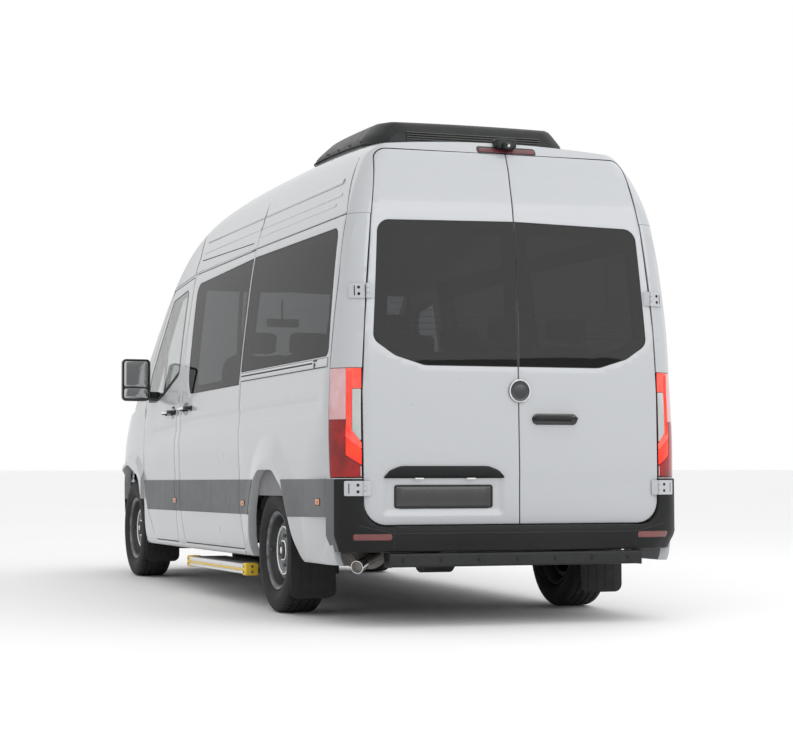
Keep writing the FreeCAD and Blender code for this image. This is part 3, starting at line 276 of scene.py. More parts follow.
def rounded(shape: Shape, step: float = 20.0) -> Array:
    """A closed outline with its corners rounded by their radii and its runs divided evenly.

    Args:
        shape: corners as two numbers and a radius.
        step: longest run between two points.

    Returns:
        Points of the outline, counter-clockwise.
    """
    corners = corner_list(shape)
    path: list[Array] = []
    for i, (x, y, radius) in enumerate(corners):
        here = np.array([x, y], float)
        before = np.array(corners[i - 1][:2], float) - here
        after = np.array(corners[(i + 1) % len(corners)][:2], float) - here
        before /= np.linalg.norm(before)
        after /= np.linalg.norm(after)
        half = math.acos(float(np.clip(before @ after, -1, 1))) / 2
        if radius <= 0 or abs(half - math.pi / 2) < 0.01:
            path.append(here[None])
            continue
        cut = radius / math.tan(half)
        middle = (before + after) / np.linalg.norm(before + after)
        centre = here + middle * radius / math.sin(half)
        start = here + before * cut - centre
        end = here + after * cut - centre
        first = math.atan2(start[1], start[0])
        swing = (math.atan2(end[1], end[0]) - first + math.pi) % (2 * math.pi) - math.pi
        count = max(2, int(abs(swing) / math.radians(11)) + 1)
        angles = first + swing * np.linspace(0, 1, count + 1)
        path.append(centre + radius * np.stack([np.cos(angles), np.sin(angles)], -1))
    points = np.concatenate(path)
    out: list[Array] = []
    for a, b in zip(points, np.roll(points, -1, 0)):
        length = float(np.linalg.norm(b - a))
        if length < 0.05:
            continue
        parts = max(1, math.ceil(length / step))
        out.append(a + (b - a) * (np.arange(parts) / parts)[:, None])
    ring = np.concatenate(out)
    return ring if area(ring) > 0 else ring[::-1]


def oblong(u0: float, v0: float, u1: float, v1: float, radius: float) -> Shape:
    """A four-cornered shape between two opposite corners, one radius all round."""
    return [(u0, v0, radius), (u1, v0, radius), (u1, v1, radius), (u0, v1, radius)]


def area(ring: Array) -> float:
    """Signed area of an outline, above nought when it runs counter-clockwise."""
    after = np.roll(ring, -1, 0)
    return 0.5 * float(np.sum(ring[:, 0] * after[:, 1] - after[:, 0] * ring[:, 1]))


def outward(ring: Array) -> Array:
    """The outward direction at each point of a counter-clockwise outline, lengthened at corners."""
    along = np.roll(ring, -1, 0) - ring
    along /= np.linalg.norm(along, axis=1, keepdims=True)
    normal = np.stack([along[:, 1], -along[:, 0]], -1)
    mean = normal + np.roll(normal, 1, 0)
    mean /= np.linalg.norm(mean, axis=1, keepdims=True)
    return mean / np.maximum(np.sum(mean * normal, 1, keepdims=True), 0.5)


def grown(shape: Shape, distance: float, least: float = 4.0) -> Shape:
    """The shape with each side moved out by distance and its corners kept round."""
    corners = corner_list(shape)
    ring = np.array([c[:2] for c in corners], float)
    turn = 1.0 if area(ring) > 0 else -1.0
    along = np.roll(ring, -1, 0) - ring
    along /= np.linalg.norm(along, axis=1, keepdims=True)
    normal = np.stack([along[:, 1], -along[:, 0]], -1) * turn
    out = []
    for i, (x, y, radius) in enumerate(corners):
        one, two = normal[i - 1], normal[i]
        mean = one + two
        mean = mean / np.dot(mean, mean) * 2
        out.append((x + mean[0] * distance, y + mean[1] * distance,
                    max(radius + distance, least) if radius else 0.0))
    return out


def inside(points: Array, ring: Array) -> Array:
    """Which points lie within an outline, by counting the sides that a level ray crosses."""
    x, y = points[:, 0][:, None], points[:, 1][:, None]
    a, b = ring[None], np.roll(ring, -1, 0)[None]
    crosses = (a[..., 1] > y) != (b[..., 1] > y)
    rise = np.where(b[..., 1] == a[..., 1], 1e-9, b[..., 1] - a[..., 1])
    at = a[..., 0] + (y - a[..., 1]) * (b[..., 0] - a[..., 0]) / rise
    return (np.sum(crosses & (x < at), 1) % 2).astype(bool)


def clear_of(points: Array, ring: Array, distance: float) -> Array:
    """Which points keep a distance from every side of an outline."""
    a = ring[None]
    run = np.roll(ring, -1, 0)[None] - a
    to = points[:, None] - a
    share = np.clip(np.sum(to * run, -1) / np.maximum(np.sum(run * run, -1), 1e-9), 0, 1)
    return np.min(np.linalg.norm(to - share[..., None] * run, axis=-1), 1) > distance


@dataclass
class Draft:
    """A mesh in the making: points in millimetres and faces of three or four corners."""

    points: list[Array] = field(default_factory=list)
    faces: list[Array] = field(default_factory=list)
    count: int = 0

    def add(self, points: Array, faces: Array | Sequence[Array]) -> None:
        """Adds points and the faces that name them."""
        groups = [faces] if isinstance(faces, np.ndarray) else list(faces)
        self.points.append(np.asarray(points, float).reshape(-1, 3))
        self.faces.extend(np.asarray(g, int) + self.count for g in groups if len(g))
        self.count += len(self.points[-1])

    def join(self, other: "Draft") -> None:
        """Adds all that another draft holds."""
        self.points.extend(other.points)
        self.faces.extend(g + self.count for g in other.faces)
        self.count += other.count

    def moved(self, change: Callable[[Array], Array], flip: bool = False) -> "Draft":
        """A copy with its points changed, and its faces turned over where flip is true."""
        faces = [g[:, ::-1] for g in self.faces] if flip else list(self.faces)
        return Draft([change(p) for p in self.points], faces, self.count)

    def turned_over(self) -> "Draft":
        """A copy with its faces turned over."""
        return self.moved(lambda p: p, True)

    def mirrored(self) -> "Draft":
        """Its mirror image across the centre plane."""
        return self.moved(lambda p: p * np.array([1, -1, 1]), True)

    def both_sides(self) -> "Draft":
        """This draft and its mirror image."""
        both = Draft(list(self.points), list(self.faces), self.count)
        both.join(self.mirrored())
        return both


def kept(draft: Draft) -> Draft:
    """The draft as it is, the change that the left side takes."""
    return draft


SIDES = (("left", kept), ("right", Draft.mirrored))


def grid_faces(rows: int, columns: int, wrap_rows: bool = False, wrap_columns: bool = False) -> Array:
    """Four-cornered faces of a grid of rows by columns, closed on itself where wrapped."""
    i = np.arange(rows if wrap_rows else rows - 1)
    j = np.arange(columns if wrap_columns else columns - 1)
    i, j = np.meshgrid(i, j, indexing="ij")
    i2, j2 = (i + 1) % rows, (j + 1) % columns
    return np.stack([i * columns + j, i2 * columns + j, i2 * columns + j2, i * columns + j2], -1).reshape(-1,
                                                                                                          4)


@dataclass(frozen=True)
class Trimmed:
    """A surface trimmed to an outline with holes, with rolled edges and a closed inner side."""

    outline: Array
    surface: Surface
    holes: tuple[Array, ...] = ()
    step: tuple[float, float] = (60.0, 30.0)
    depth: float = 40.0
    roll: float = 2.5
    extra: Array | None = None
    facing: float = 1.0

    def _plan(self, rings: list[Array], fine: bool) -> tuple[Array, Array]:
        """Triangles over the plane region: the rings' points come first, then those inside."""
        low, high = rings[0].min(0), rings[0].max(0)
        size = self.step if fine else (200.0, 120.0)
        u = np.arange(low[0] + size[0] / 2, high[0], size[0])
        v = np.arange(low[1] + size[1] / 2, high[1], size[1])
        field_points = np.stack(np.meshgrid(u, v, indexing="ij"), -1).reshape(-1, 2)
        if fine and self.extra is not None and len(self.extra):
            box_low, box_high = self.extra.min(0), self.extra.max(0)
            out = np.any((field_points < box_low) | (field_points > box_high), 1)
            field_points = np.concatenate([field_points[out], self.extra])
        keep = inside(field_points, rings[0])
        for ring in rings[1:]:
            keep &= ~inside(field_points, ring)
        field_points = field_points[keep]
        for ring in rings:
            if len(field_points):
                field_points = field_points[clear_of(field_points, ring, min(size) * 0.32)]
        edges, start = [], 0
        for ring in rings:
            edges += [(start + k, start + (k + 1) % len(ring)) for k in range(len(ring))]
            start += len(ring)
        flat = np.concatenate(rings + [field_points])
        made = delaunay_2d_cdt([Vector(p) for p in flat.tolist()], edges, [], 0, 1e-4)
        points = np.array([tuple(p) for p in made[0]], float)
        triangles = np.array([f for f in made[2] if len(f) == 3], int)
        middle = points[triangles].mean(1)
        keep = inside(middle, rings[0])
        for ring in rings[1:]:
            keep &= ~inside(middle, ring)
        return points, triangles[keep]

    def draft(self) -> Draft:
        """The trimmed slab: outer skin, quarter-round rolled edge, edge wall and inner skin."""
        made = Draft()
        loops = [self.outline] + list(self.holes)
        ways = [outward(r) * (1.0 if k == 0 else -1.0) for k, r in enumerate(loops)]
        rims = [r - w * self.roll for r, w in zip(loops, ways)]
        turns = [self.facing * (1.0 if k == 0 else -1.0) for k in range(len(loops))]
        outer, faces = self._plan(rims, True)
        made.add(self._place(outer, 0.0), faces[:, ::-1] if self.facing < 0 else faces)
        for ring, way, turn in zip(loops, ways, turns):
            rows = []
            for angle in (0.0, 30.0, 60.0, 90.0):
                out = self.roll * (math.sin(math.radians(angle)) - 1)
                rows.append(self._place(ring + way * out, self.roll * (1 - math.cos(math.radians(angle)))))
            rows.append(self._place(ring, self.depth))
            grid = grid_faces(len(rows), len(ring), wrap_columns=True)
            made.add(np.stack(rows), grid if turn > 0 else grid[:, ::-1])
        inner, faces = self._plan(loops, False)
        made.add(self._place(inner, self.depth), faces if self.facing < 0 else faces[:, ::-1])
        return made

    def _place(self, plane: Array, depth: float) -> Array:
        """The surface at points of its plane, at a depth under its skin."""
        return self.surface(plane[:, 0], plane[:, 1], np.full(len(plane), depth))


EDGE_STEPS = 5


def block(low: Sequence[float], high: Sequence[float], radius: float) -> Draft:
    """A block with rounded edges: a cube grid pressed on a ball of radius, carried out to a core.

    Args:
        low: lowest corner.
        high: highest corner.
        radius: edge radius.

    Returns:
        The closed block.
    """
    low_, high_ = np.array(low, float), np.array(high, float)
    centre, half = (low_ + high_) / 2, (high_ - low_) / 2
    radius = min(radius, float(half.min()) * 0.999)
    t = np.tan(np.linspace(-1, 1, 2 * EDGE_STEPS) * math.pi / 4)
    a, b = np.meshgrid(t, t, indexing="ij")
    one = np.ones_like(a)
    made = Draft()
    faces = grid_faces(len(t), len(t))
    for axis in range(3):
        for sign in (1.0, -1.0):
            parts = [a, b]
            parts.insert(axis, one * sign)
            cube = np.stack(parts, -1)
            ball = cube / np.linalg.norm(cube, axis=-1, keepdims=True)
            core = np.where(cube >= 0, 1.0, -1.0) * (half - radius)
            flip = (sign > 0) == (axis == 1)
            made.add(centre + core + ball * radius, faces[:, ::-1] if flip else faces)
    return made


def turned(profile: Array, origin: Sequence[float], axis: Sequence[float], count: int = 48) -> Draft:
    """A profile of (along, radius) pairs turned about an axis, closed where its radius is nought."""
    axis_ = np.array(axis, float) / np.linalg.norm(axis)
    side = np.cross(axis_, [0.0, 0.0, 1.0] if abs(axis_[2]) < 0.9 else [1.0, 0.0, 0.0])
    side /= np.linalg.norm(side)
    up = np.cross(axis_, side)
    angle = np.linspace(0, 2 * math.pi, count, endpoint=False)
    round_ = np.cos(angle)[:, None] * side + np.sin(angle)[:, None] * up
    pr = np.asarray(profile, float)
    points = np.array(origin, float) + pr[:, 0, None, None] * axis_ + pr[:, 1, None, None] * round_[None]
    made = Draft()
    made.add(points, grid_faces(len(pr), count, wrap_columns=True)[:, ::-1])
    return made


def tube(path: Array, radius: float, sides: int = 12, squash: float = 1.0) -> Draft:
    """A round bar carried along a path, its section kept upright, with closed ends."""
    path = np.asarray(path, float)
    along = np.gradient(path, axis=0)
    along /= np.linalg.norm(along, axis=1, keepdims=True)
    across = np.cross(along, [0.0, 0.0, 1.0])
    weak = np.linalg.norm(across, axis=1) < 0.05
    across[weak] = np.cross(along[weak], [0.0, 1.0, 0.0])
    across /= np.linalg.norm(across, axis=1, keepdims=True)
    up = np.cross(across, along)
    angle = np.linspace(0, 2 * math.pi, sides, endpoint=False)
    wide, tall = np.cos(angle)[None, :, None], np.sin(angle)[None, :, None]
    ring = wide * across[:, None] + squash * tall * up[:, None]
    body = path[:, None] + radius * ring
    cap = [path[:1, None] + 0 * body[:1], path[-1:, None] + 0 * body[:1]]
    made = Draft()
    made.add(np.concatenate([cap[0], body, cap[1]]), grid_faces(len(path) + 2, sides, wrap_columns=True))
    return made


def spline_path(points: Array | Shape, count: int) -> Array:
    """A smooth path through points: a Catmull-Rom cubic between neighbours, count steps each."""
    p = np.asarray(points, float)
    p = np.concatenate([2 * p[:1] - p[1:2], p, 2 * p[-1:] - p[-2:-1]])
    t = np.linspace(0, 1, count, endpoint=False)[:, None]
    out = []
    for a, b, c, d in zip(p, p[1:], p[2:], p[3:]):
        out.append(0.5 * (2 * b + (c - a) * t + (2 * a - 5 * b + 4 * c - d) * t**2
                          + (3 * b - 3 * c + d - a) * t**3))
    return np.concatenate(out + [p[-2:-1]])


MIX_ONE, MIX_TWO, MIX_RESULT = 6, 7, 2


class Kit:
    """The nodes of one material in the making, all patterns read in object coordinates."""

    def __init__(self, name: str) -> None:
        """Starts a material with one principled shader."""
        self.material = bpy.data.materials.new(name)
        self.material.use_nodes = True
        self.tree = self.material.node_tree
        self.shader = self.tree.nodes["Principled BSDF"]
        self.place = self.tree.nodes.new("ShaderNodeTexCoord").outputs["Object"]

    def node(self, kind: str, **values: object) -> bpy.types.Node:
        """A new node with its plain properties set."""
        made = self.tree.nodes.new(kind)
        for key, value in values.items():
            setattr(made, key, value)
        return made

    def link(self, source: bpy.types.NodeSocket, target: bpy.types.NodeSocket) -> None:
        """Joins two sockets."""
        self.tree.links.new(source, target)

    def stretched(self, stretch: Sequence[float]) -> bpy.types.NodeSocket:
        """Object coordinates scaled along each axis."""
        mapping = self.node("ShaderNodeMapping")
        mapping.inputs["Scale"].default_value = tuple(stretch)
        self.link(self.place, mapping.inputs["Vector"])
        return mapping.outputs["Vector"]

    def noise(self, scale: float, detail: float = 4.0,
              stretch: Sequence[float] = (1, 1, 1)) -> bpy.types.NodeSocket:
        """Fractal noise at a scale per metre."""
        made = self.node("ShaderNodeTexNoise")
        made.inputs["Scale"].default_value = scale
        made.inputs["Detail"].default_value = detail
        self.link(self.stretched(stretch), made.inputs["Vector"])
        return made.outputs["Fac"]

    def span(self, source: bpy.types.NodeSocket, low: float, high: float, start: float,
             end: float) -> bpy.types.NodeSocket:
        """Carries low..high of a value to start..end, held at both ends."""
        made = self.node("ShaderNodeMapRange")
        for key, value in (("From Min", low), ("From Max", high), ("To Min", start), ("To Max", end)):
            made.inputs[key].default_value = value
        self.link(source, made.inputs["Value"])
        return made.outputs["Result"]

    def blend(self, factor: bpy.types.NodeSocket, one: object, two: object) -> bpy.types.NodeSocket:
        """A mix of two colours, each a colour or a socket."""
        made = self.node("ShaderNodeMix", data_type="RGBA")
        self.link(factor, made.inputs["Factor"])
        for socket, value in ((made.inputs[MIX_ONE], one), (made.inputs[MIX_TWO], two)):
            if isinstance(value, tuple):
                socket.default_value = (*value, 1.0)
            else:
                self.link(value, socket)
        return made.outputs[MIX_RESULT]

    def height(self) -> bpy.types.NodeSocket:
        """The height above the floor, in metres."""
        split = self.node("ShaderNodeSeparateXYZ")
        self.link(self.place, split.inputs["Vector"])
        return split.outputs["Z"]

    def bump(self, source: bpy.types.NodeSocket, distance: float) -> bpy.types.NodeSocket:
        """A bump of a distance in metres."""
        made = self.node("ShaderNodeBump")
        made.inputs["Distance"].default_value = distance
        made.inputs["Strength"].default_value = 1.0
        self.link(source, made.inputs["Height"])
        return made.outputs["Normal"]

    def set(self, **values: object) -> None:
        """Sets constants on the shader's own sockets, an underscore standing for a space."""
        for key, value in values.items():
            self.shader.inputs[key.replace("_", " ")].default_value = value

    def into(self, socket: str, source: bpy.types.NodeSocket) -> None:
        """Joins a source to one of the shader's sockets."""
        self.link(source, self.shader.inputs[socket])


Colour = tuple[float, float, float]


@dataclass(frozen=True)
class Finish:
    """A solid finish: colour that drifts, road dust low down, uneven gloss and fine texture."""

    name: str
    base: Colour
    drift: Colour
    rough: tuple[float, float] = (0.35, 0.5)
    patch: float = 3.0
    grain: float = 900.0
    grain_deep: float = 0.0001
    metallic: float = 0.0
    coat: float = 0.0
    coat_rough: float = 0.04
    dust: float = 0.0
    dust_top: float = 0.8
    dust_colour: Colour = (0.30, 0.27, 0.23)
    stretch: tuple[float, float, float] = (1.0, 1.0, 1.0)
    specular: float = 0.5

    def build(self) -> bpy.types.Material:
        """The material: two colours mixed by broad noise, dust by height, grain as bump."""
        kit = Kit(self.name)
        broad = kit.noise(self.patch, 3.0, self.stretch)
        colour = kit.blend(kit.span(broad, 0.35, 0.65, 0.0, 1.0), self.base, self.drift)
        rough = kit.span(kit.noise(self.patch * 9, 2.0, self.stretch), 0.2, 0.8, *self.rough)
        if self.dust > 0:
            fall = kit.span(kit.height(), 0.05, self.dust_top, 1.0, 0.0)
            speck = kit.span(kit.noise(28.0, 6.0), 0.35, 0.75, 0.2, 1.0)
            amount = kit.node("ShaderNodeMath", operation="MULTIPLY")
            kit.link(fall, amount.inputs[0])
            kit.link(speck, amount.inputs[1])
            share = kit.span(amount.outputs[0], 0.0, 1.0, 0.0, self.dust)
            colour = kit.blend(share, colour, self.dust_colour)
        kit.into("Base Color", colour)
        kit.into("Roughness", rough)
        kit.into("Normal", kit.bump(kit.noise(self.grain, 2.0, self.stretch), self.grain_deep))
        kit.set(Metallic=self.metallic, Coat_Weight=self.coat, Coat_Roughness=self.coat_rough,
                Specular_IOR_Level=self.specular)
        return kit.material


@dataclass(frozen=True)
class GlassFinish:
    """A tinted pane: clear through its thickness, its tint drifting a little, with a soft ripple."""

    name: str
    tint: Colour
    drift: Colour
    film: float = 0.0
    bend: float = 1.4

    def build(self) -> bpy.types.Material:
        """The material: two tints mixed by broad noise, a film where one is asked for."""
        kit = Kit(self.name)
        kit.into("Base Color", kit.blend(kit.span(kit.noise(0.8, 2.0), 0.3, 0.7, 0, 1), self.tint,
                                         self.drift))
        kit.into("Roughness", kit.span(kit.noise(3.0, 3.0, (1, 1, 3)), 0.35, 0.8, 0.0, self.film))
        kit.into("Normal", kit.bump(kit.noise(0.5, 0.0), 0.0001))
        kit.set(Transmission_Weight=1.0, IOR=self.bend)
        return kit.material


@dataclass(frozen=True)
class LensFinish:
    """A moulded lamp lens: fine vertical optics under a clear coat, lit from behind."""

    name: str
    colour: Colour
    deep: Colour
    glow: float = 0.0
    clear: float = 0.0
    pitch: float = 220.0

    def build(self) -> bpy.types.Material:
        """The material: bands of optics across as a bump, its colour drifting by noise towards a deeper one.
        """
        kit = Kit(self.name)
        wave = kit.node("ShaderNodeTexWave", bands_direction="Y")
        wave.inputs["Scale"].default_value = self.pitch / 10
        wave.inputs["Distortion"].default_value = 1.5
        kit.link(kit.place, wave.inputs["Vector"])
        share = kit.span(kit.noise(14.0, 3.0, (1, 1, 0.6)), 0.35, 0.65, 0.0, 1.0)
        colour = kit.blend(share, self.colour, self.deep)
        kit.into("Base Color", colour)
        kit.into("Roughness", kit.span(kit.noise(40.0), 0.3, 0.7, 0.06, 0.16))
        kit.into("Normal", kit.bump(wave.outputs["Fac"], 0.0005))
        kit.set(Transmission_Weight=self.clear, IOR=1.5, Coat_Weight=0.5, Coat_Roughness=0.05,
                Specular_IOR_Level=0.3)
        if self.glow:
            kit.into("Emission Color", colour)
            kit.set(Emission_Strength=self.glow)
        return kit.material


THREADS = 70.0


@dataclass(frozen=True)
class WovenFinish:
    """A woven seat cloth: crossing threads, a scatter of lighter flecks and a soft sheen."""

    name: str
    base: Colour
    fleck: Colour

    def build(self) -> bpy.types.Material:
        """The material: three wave patterns at right angles make the weave."""
        kit = Kit(self.name)
        heights = []
        for way in ("Y", "Z", "X"):
            wave = kit.node("ShaderNodeTexWave", bands_direction=way)
            wave.inputs["Scale"].default_value = THREADS
            kit.link(kit.place, wave.inputs["Vector"])
            heights.append(wave.outputs["Fac"])
        total = heights[0]
        for other in heights[1:]:
            added = kit.node("ShaderNodeMath", operation="ADD")
            kit.link(total, added.inputs[0])
            kit.link(other, added.inputs[1])
            total = added.outputs[0]
        flecks = kit.span(kit.noise(160.0, 3.0), 0.56, 0.66, 0.0, 0.8)
        colour = kit.blend(flecks, self.base, self.fleck)
        kit.into("Base Color", kit.blend(kit.span(kit.noise(5.0), 0.3, 0.7, 0.0, 0.25), colour,
                                         (0.02, 0.02, 0.025)))
        kit.into("Roughness", kit.span(kit.noise(60.0), 0.3, 0.7, 0.75, 0.95))
        kit.into("Normal", kit.bump(total, 0.0008))
        kit.set(Sheen_Weight=0.25)
        return kit.material


class Look(Enum):
    """Every finish of the vehicle, by what it is on."""

    PAINT = Finish("silver_paint", (0.428, 0.442, 0.458), (0.422, 0.436, 0.452), (0.27, 0.30), 0.5, 90,
                   0.000004, coat=0.5, coat_rough=0.06, dust=0.04, dust_top=0.6,
                   dust_colour=(0.30, 0.29, 0.275))
    CLAD = Finish("grey_cladding", (0.118, 0.122, 0.128), (0.104, 0.108, 0.114), (0.5, 0.62), 1.6, 1500,
                  0.0002, dust=0.06)
    BUMPER = Finish("bumper_plastic", (0.010, 0.0105, 0.011), (0.013, 0.0135, 0.014), (0.40, 0.54), 2, 1400,
                    0.00012, dust=0.015, specular=0.18)
    BLACK = Finish("black_plastic", (0.014, 0.015, 0.016), (0.011, 0.012, 0.013), (0.38, 0.52), 3, 1400,
                   0.00012, dust=0.03, specular=0.3)
    UNIT = Finish("roof_unit_plastic", (0.015, 0.016, 0.017), (0.012, 0.013, 0.014), (0.34, 0.46), 2, 1400,
                  0.0001, specular=0.3)
    DISC = Finish("plain_disc_face", (0.06, 0.062, 0.066), (0.05, 0.052, 0.055), (0.16, 0.26), 9, 700,
                  0.00002, metallic=0.7)
    GLOSS = Finish("black_gloss_trim", (0.010, 0.010, 0.011), (0.014, 0.014, 0.015), (0.10, 0.2), 3, 900,
                   0.00002, coat=0.4)
    FRIT = Finish("black_glass_border", (0.006, 0.006, 0.007), (0.009, 0.009, 0.010), (0.3, 0.5), 5, 700,
                  0.00004)
    SEAM = Finish("seam_rubber", (0.016, 0.016, 0.018), (0.010, 0.010, 0.011), (0.6, 0.8), 8, 600, 0.0001)
    RIM = Finish("wheel_disc_steel", (0.20, 0.21, 0.22), (0.07, 0.074, 0.078), (0.26, 0.42), 22, 700, 0.00012,
                 metallic=0.8, dust=0.05)
    WHEEL_DARK = Finish("wheel_dark", (0.055, 0.057, 0.06), (0.045, 0.046, 0.05), (0.4, 0.55), 9, 1200,
                        0.00006, metallic=0.4, dust=0.08)
    BRIGHT = Finish("bright_metal", (0.78, 0.78, 0.79), (0.70, 0.70, 0.71), (0.12, 0.22), 12, 900, 0.00003,
                    metallic=1.0)
    DARK_STEEL = Finish("chassis_coating", (0.022, 0.022, 0.023), (0.034, 0.033, 0.032), (0.55, 0.75), 6, 500,
                        0.0003, metallic=0.2, dust=0.15, dust_top=1.0)
    CAST = Finish("cast_metal", (0.16, 0.16, 0.165), (0.12, 0.118, 0.115), (0.45, 0.65), 10, 320, 0.0004,
                  metallic=0.6, dust=0.12, dust_top=1.0)
    EXHAUST = Finish("silencer_steel", (0.22, 0.21, 0.20), (0.15, 0.135, 0.12), (0.35, 0.55), 7, 500, 0.0002,
                     metallic=0.9, dust=0.12)
    TYRE = Finish("tyre_rubber", (0.013, 0.013, 0.014), (0.017, 0.017, 0.017), (0.62, 0.78), 9, 800, 0.0002,
                  specular=0.25, dust=0.10, dust_top=0.9, dust_colour=(0.12, 0.115, 0.105))
    FLAP = Finish("flap_rubber", (0.014, 0.014, 0.015), (0.018, 0.018, 0.018), (0.55, 0.72), 4, 420, 0.0002,
                  specular=0.25, dust=0.08, dust_colour=(0.12, 0.115, 0.105))
    YELLOW = Finish("yellow_step_plastic", (0.80, 0.55, 0.03), (0.74, 0.50, 0.025), (0.35, 0.5), 7, 1100,
                    0.0001, dust=0.08)
    WHITE = Finish("white_step_strip", (0.74, 0.74, 0.73), (0.70, 0.70, 0.69), (0.35, 0.5), 7, 1100, 0.0001,
                   dust=0.06)
    TREAD = Finish("step_aluminium", (0.62, 0.63, 0.64), (0.54, 0.55, 0.56), (0.28, 0.42), 8, 900, 0.0001,
                   metallic=0.9, stretch=(0.1, 1, 1), dust=0.06)
    TRIM = Finish("cabin_trim", (0.10, 0.10, 0.105), (0.075, 0.076, 0.08), (0.55, 0.75), 4, 1300, 0.0003)
    LINING = Finish("wall_lining", (0.20, 0.20, 0.205), (0.17, 0.17, 0.175), (0.6, 0.8), 4, 1500, 0.0002)
    FLOOR = Finish("cabin_floor", (0.085, 0.088, 0.092), (0.12, 0.122, 0.125), (0.5, 0.7), 30, 240, 0.0003)
    PLATE = Finish("plate_blank", (0.012, 0.012, 0.013), (0.02, 0.02, 0.02), (0.18, 0.3), 6, 500, 0.00005,
                   coat=0.4)
    REFLECTOR = LensFinish("reflector_red", (0.20, 0.055, 0.055), (0.15, 0.045, 0.045), pitch=900)
    AMBER = LensFinish("amber_lens", (0.62, 0.20, 0.05), (0.48, 0.14, 0.03), 0.12, pitch=600)
    AMBER_DEEP = LensFinish("amber_bulb", (0.30, 0.06, 0.01), (0.22, 0.04, 0.01), 0.05, pitch=600)
    TAIL_BACK = LensFinish("tail_lamp_backing", (0.10, 0.003, 0.004), (0.06, 0.002, 0.003), 0.0)
    TAIL_DEEP = LensFinish("tail_lens_deep", (0.30, 0.001, 0.002), (0.15, 0.001, 0.001), 0.06)
    TAIL_LIT = LensFinish("tail_lens_lit", (0.95, 0.045, 0.03), (1.0, 0.09, 0.06), 0.5)
    TAIL_HOT = LensFinish("tail_lens_hot", (1.0, 0.012, 0.004), (1.0, 0.03, 0.008), 0.6)
    TAIL_CLEAR = LensFinish("tail_lens_pale", (0.62, 0.40, 0.41), (0.56, 0.30, 0.31), 0.0)
    TAIL_REVERSE = LensFinish("tail_lens_reversing", (0.44, 0.47, 0.46), (0.37, 0.40, 0.395), 0.05)
    HIGH_STOP = LensFinish("high_stop_lens", (0.13, 0.03, 0.035), (0.09, 0.02, 0.025), 0.0, pitch=700)
    HEAD_LENS = LensFinish("headlamp_lens", (0.93, 0.94, 0.95), (0.86, 0.87, 0.89), 0.0, 0.92, 60)
    CHROME = Finish("lamp_bright", (0.86, 0.87, 0.88), (0.75, 0.76, 0.78), (0.05, 0.15), 8, 500, 0.00003,
                    metallic=1.0)
    TINT = GlassFinish("tinted_glass", (0.10, 0.103, 0.108), (0.09, 0.093, 0.098), bend=1.12)
    DARK_TINT = GlassFinish("dark_tinted_glass", (0.06, 0.062, 0.066), (0.055, 0.057, 0.061), bend=1.31)
    CLEAR = GlassFinish("clear_glass", (0.62, 0.65, 0.64), (0.60, 0.63, 0.62))
    MIRROR = Finish("mirror_glass", (0.50, 0.51, 0.51), (0.46, 0.47, 0.475), (0.03, 0.10), 4, 400, 0.00001,
                    metallic=1.0)
    CLOTH = WovenFinish("seat_cloth", (0.035, 0.037, 0.045), (0.12, 0.125, 0.14))
    ENGINE = Finish("engine_cover", (0.05, 0.05, 0.052), (0.075, 0.075, 0.078), (0.5, 0.7), 8, 700, 0.0004,
                    dust=0.2)


MADE: dict[Look, bpy.types.Material] = {}


def material(look: Look) -> bpy.types.Material:
    """The material of a look, built once."""
    if look not in MADE:
        MADE[look] = look.value.build()
    return MADE[look]


def put(
    name: str, draft: Draft, look: Look, body: str, replaces: Sequence[str] = (), sharp: float = 34.0,
) -> bpy.types.Object:
    """Makes the object of a draft: doubles merged, smooth but for sharp edges, dressed and riding.

    Args:
        name: the piece's plain name.
        draft: its mesh, in the level body frame in millimetres.
        look: its finish.
        body: the body that it moves with.
        replaces: nodes of the frame that it stands for.
        sharp: angle in degrees past which an edge is sharp.

    Returns:
        The finished object.
    """
    points = stand(np.concatenate(draft.points))
    _, first, same = np.unique(np.round(points, 5), axis=0, return_index=True, return_inverse=True)
    same = same.reshape(-1)
    loops, starts, start = [], [], 0
    for group in draft.faces:
        corners = same[group]
        width = corners.shape[1]
        if width == 4:
            pinched = corners == np.roll(corners, -1, 1)
            whole_quads = corners[~pinched.any(1)]
            loops.append(whole_quads.ravel())
            starts.append(start + 4 * np.arange(len(whole_quads)))
            start += 4 * len(whole_quads)
            one = pinched.sum(1) == 1
            thin, where = corners[one], pinched[one].argmax(1)
            order = (where[:, None] + np.arange(1, 4)) % 4
            corners = np.take_along_axis(thin, order, 1)
        else:
            corners = corners[(corners != np.roll(corners, -1, 1)).all(1)]
        loops.append(corners.ravel())
        starts.append(start + 3 * np.arange(len(corners)))
        start += 3 * len(corners)
    mesh = bpy.data.meshes.new(name)
    mesh.vertices.add(len(first))
    mesh.vertices.foreach_set("co", points[first].astype(np.float32).ravel())
    corner = np.concatenate(loops).astype(np.int32)
    mesh.loops.add(len(corner))
    mesh.loops.foreach_set("vertex_index", corner)
    begin = np.concatenate(starts).astype(np.int32)
    mesh.polygons.add(len(begin))
    mesh.polygons.foreach_set("loop_start", begin)
    mesh.update(calc_edges=True)
    mesh.validate()
    mesh.shade_smooth()
    mesh.set_sharp_from_angle(angle=math.radians(sharp))
    made = bpy.data.objects.new(name, mesh)
    bpy.context.scene.collection.objects.link(made)
    mesh.materials.append(material(look))
    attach(made, body)
    if replaces:
        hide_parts(*replaces)
    LOG.info("%s: %d faces on %s", name, len(mesh.polygons), body)
    return made


def dress(frame: dict, name: str, look: Look) -> None:
    """Gives a carried-over node of the frame its finish."""
    node = frame["nodes"][name]
    node.data.materials.clear()
    node.data.materials.append(material(look))
    LOG.info("%s: carried over from the frame in %s", name, look.value.name)


